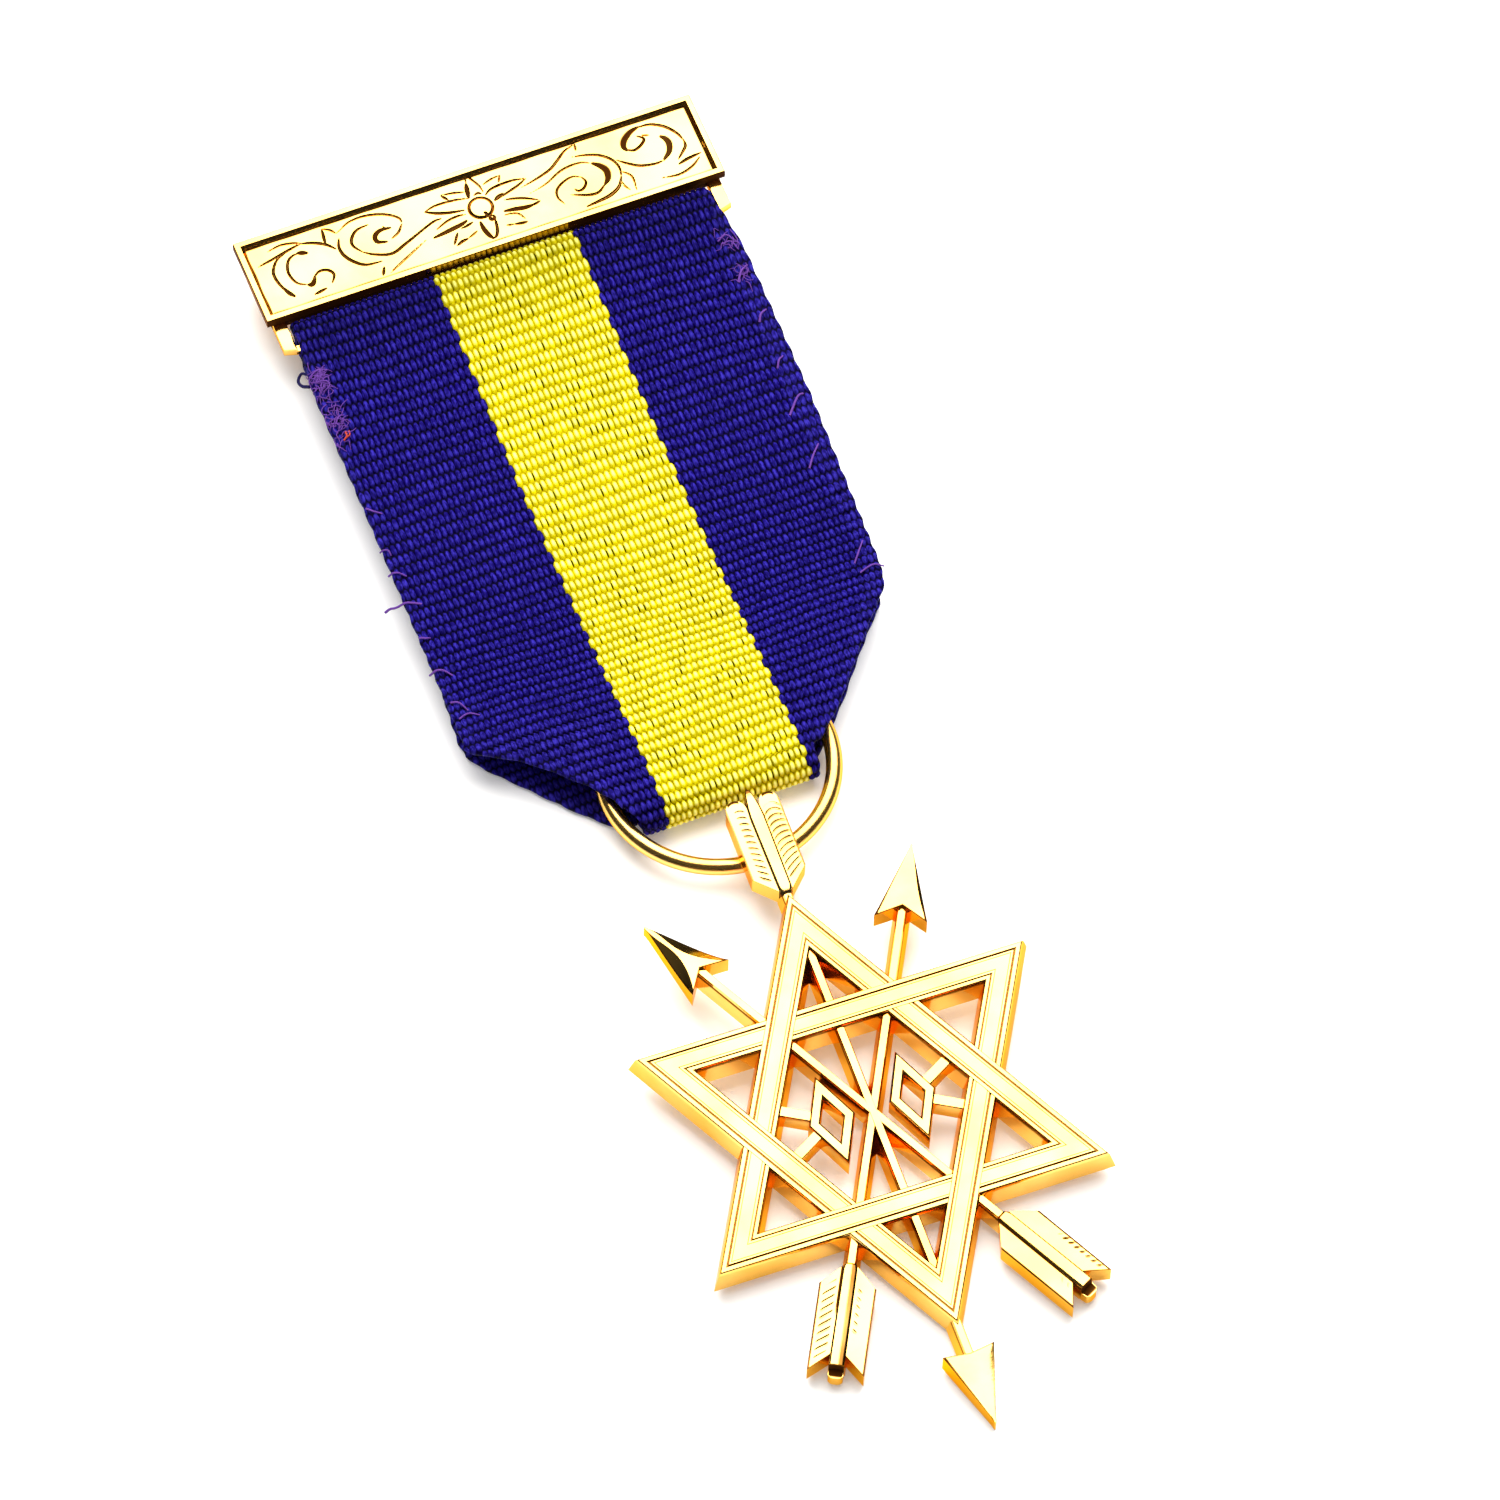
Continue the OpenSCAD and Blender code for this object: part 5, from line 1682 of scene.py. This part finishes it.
def turn_by(angle, shift=(0, 0, 0)):
    """A function that turns points about the upright axis and then shifts them."""
    c, s = np.cos(np.radians(angle)), np.sin(np.radians(angle))
    return lambda points: points @ np.array([[c, s, 0], [-s, c, 0], [0, 0, 1]]) + shift


def slanted_arrow(angle, tip, bevels, edge_lines, lower,
                  first_barbs, second_barbs, inner_shade, tan_side):
    """A whole slanted arrow: head at one end, fletching at the other. lower says how much lower
    than the upright one its shaft lies."""
    parts = [
        shaft(-SLANT_TAIL + RIDGE_W, tip - HEAD_L + BARB_SWEEP + NECK_TUCK, lower),
        arrow_head(tip, HEAD_L, BARB_SWEEP, bevels, TIP_FALL, edge_lines, 1.0),
    ]
    feathers = fletching(SLANT_TAIL, SLANT_FLETCH_L, 1, first_barbs, second_barbs, inner_shade, tan_side)
    parts += [moved(p, turn_by(180)) for p in feathers]
    return [moved(p, turn_by(angle, (0, -CROSS_DROP, 0))) for p in parts]


# Each row: number of strokes, reach across (low, high), reach along (low, high), darkness, sharpness
TOP_BARBS = [(14, 0.1, 0.7, 0, 0.97, 0.42, 3), (14, 0.0, 0.98, 0, 0.93, 0.48, 3)]
LOW_LEFT_BARBS = [(11, 0.08, 0.45, 0.1, 0.8, 0.36, 1.8), (11, 0.1, 0.85, 0.06, 1, 0.35, 1.4)]
LOW_RIGHT_BARBS = [(13, 0.6, 0.95, 0.35, 1, 0.85, 2.5), (11, 0.1, 0.5, 0.8, 1, 0.6, 3)]
# Bevels of each head, left and right: share of the half width, slope, power
LEFT_HEAD = [(0.8, 0.38, 1), (0.9, 0.38, 1)]
RIGHT_HEAD = [(0.7, 0.1, 2), (0.24, 0.34, 1)]
LOWER_HEAD = [(0.75, 0.055, 2), (0.04, 0.1, 1)]
lower_head = arrow_head(LOWER_TIP, LOWER_HEAD_L, LOWER_SWEEP, LOWER_HEAD, LOWER_FALL, (0.35, 0.9), 0.6)
arrow_parts = [
    *slanted_arrow(LEFT_ANGLE, LEFT_TIP, LEFT_HEAD, (0.5, 0.5), 0.03, *LOW_RIGHT_BARBS, 1.2, 0),
    *slanted_arrow(RIGHT_ANGLE, RIGHT_TIP, RIGHT_HEAD, (1.0, 1.0), 0.06, *LOW_LEFT_BARBS, 0.6, -1),
    shaft(-FOOT_L + LOWER_HEAD_L, STAR_TIP_Y + NOCK_TUCK),
    moved(lower_head, turn_by(180)),
    *fletching(STAR_TIP_Y + FLETCH_L, FLETCH_L, -1, *TOP_BARBS, round_end=True),
]
arrows = build("crossed_arrows", [moved(p, lay_star) for p in arrow_parts], gilt, sharp=28)
hand_over(arrows, "gilt_metal", "pendant")

# %% [markdown]
# ## The centre ornament and the bail
# Two open lozenges stand in the middle of the star, tied to its sides by short lugs. A lozenge is
# a profile carried round four mitred corners: because its sides all touch one circle, moving them
# in by a little is the same as scaling the whole shape. The bail is a small ring behind the top
# arrow that holds the star on the large ring.

# %% Lozenges and lugs
LOZENGE_X = 2.85
LOZENGE_W = 3.3
LOZENGE_H = 6.9
STROKE = 0.78
LOZENGE_TOP = 1.68
LUG_ANGLE = 30
LUG_START = 0.45
LUG_DROP = 0.12


def lozenge():
    """Four corners times a rounded square profile, closed both ways. touch is the radius of the
    circle that all four sides touch."""
    half_w, half_h = LOZENGE_W / 2, LOZENGE_H / 2
    corners = np.array([(half_w, 0), (0, half_h), (-half_w, 0), (0, -half_h)])
    touch = 1 / np.hypot(1 / half_w, 1 / half_h)
    profile = np.array([
        (0, 0), (0, 0.9), (0.08, 0.97), (0.2, 1.0), (0.8, 1.0), (0.92, 0.97), (1, 0.9), (1, 0),
    ])
    inset = profile[:, 0] * STROKE / touch
    ring_xy = corners[:, None] * (1 - inset)[None, :, None]
    z = np.broadcast_to(profile[:, 1] * LOZENGE_TOP, ring_xy.shape[:2])
    points = np.concatenate([ring_xy, z[..., None]], -1)
    return grid_part(points, closed=True)


def lug(angle):
    """A short bar from inside a lozenge's side out to a band."""
    start = LOZENGE_W / 2 * LUG_START
    length = STAR_R / 2 - BAND_W / 2 - LOZENGE_X * np.cos(np.radians(LUG_ANGLE))
    bar = block(start, length, -STROKE / 2, STROKE / 2, 0, LOZENGE_TOP - LUG_DROP, 0.1)
    return moved(bar, turn_by(angle))


centre_parts = []
for side in (-1, 1):
    outward = 0 if side > 0 else 180
    parts = [lozenge(), lug(outward + LUG_ANGLE), lug(outward - LUG_ANGLE)]
    centre_parts += [moved(p, turn_by(0, (side * LOZENGE_X, 0, 0))) for p in parts]
centre = build("centre_lozenges", [moved(p, lay_star) for p in centre_parts], gilt, sharp=28)
hand_over(centre, "gilt_metal", "pendant")

# %% The bail
BAIL_D = 0.6
BAIL_SLIP = 0.15
bail_r = WIRE_D / 2 + BAIL_SLIP + BAIL_D / 2
bail_hoop = hoop(np.zeros(3), bail_r, BAIL_D / 2, 48, 14, axis="x")
bail_place = turn_by(np.degrees(STAR_TURN), (bail_at[0], bail_at[1], RING_AT[2]))
bail = build("bail", [moved(bail_hoop, bail_place)], gilt)
hand_over(bail, "gilt_metal", "pendant")

# %% [markdown]
# ## The table
# The jewel lies on a plain pale table that glows a little, like a photographer's light table, so that
# the shadows in the star's openings stay light. It is a large flat sheet under everything, and it isn't
# part of the jewel.

# %% Make the table
TABLE_SIZE = 6000
TABLE_GLOW = 0.13
TABLE_DIM = (0.9, 0.895, 0.885, 1)
TABLE_PALE = (0.93, 0.925, 0.92, 1)
MOTTLES_PER_M = 60


def table_finish():
    """Pale matt sheet with a trace of mottling and a weak even glow."""
    material, tree, shader = new_material("pale_table")
    mottle = noise(tree, object_place(tree), MOTTLES_PER_M, 2)
    tree.links.new(blend(tree, mottle, TABLE_DIM, TABLE_PALE), shader.inputs["Base Color"])
    shader.inputs["Roughness"].default_value = 0.7
    shader.inputs["Emission Color"].default_value = (1.0, 0.98, 0.95, 1)
    shader.inputs["Emission Strength"].default_value = TABLE_GLOW
    return material


half_table = TABLE_SIZE / 2
line = np.linspace(-half_table, half_table, 5)
table_x, table_y = np.meshgrid(line, line)
table_points = np.stack([table_x, table_y, 0 * table_x], -1)
table = build("table", [grid_part(table_points)], table_finish())
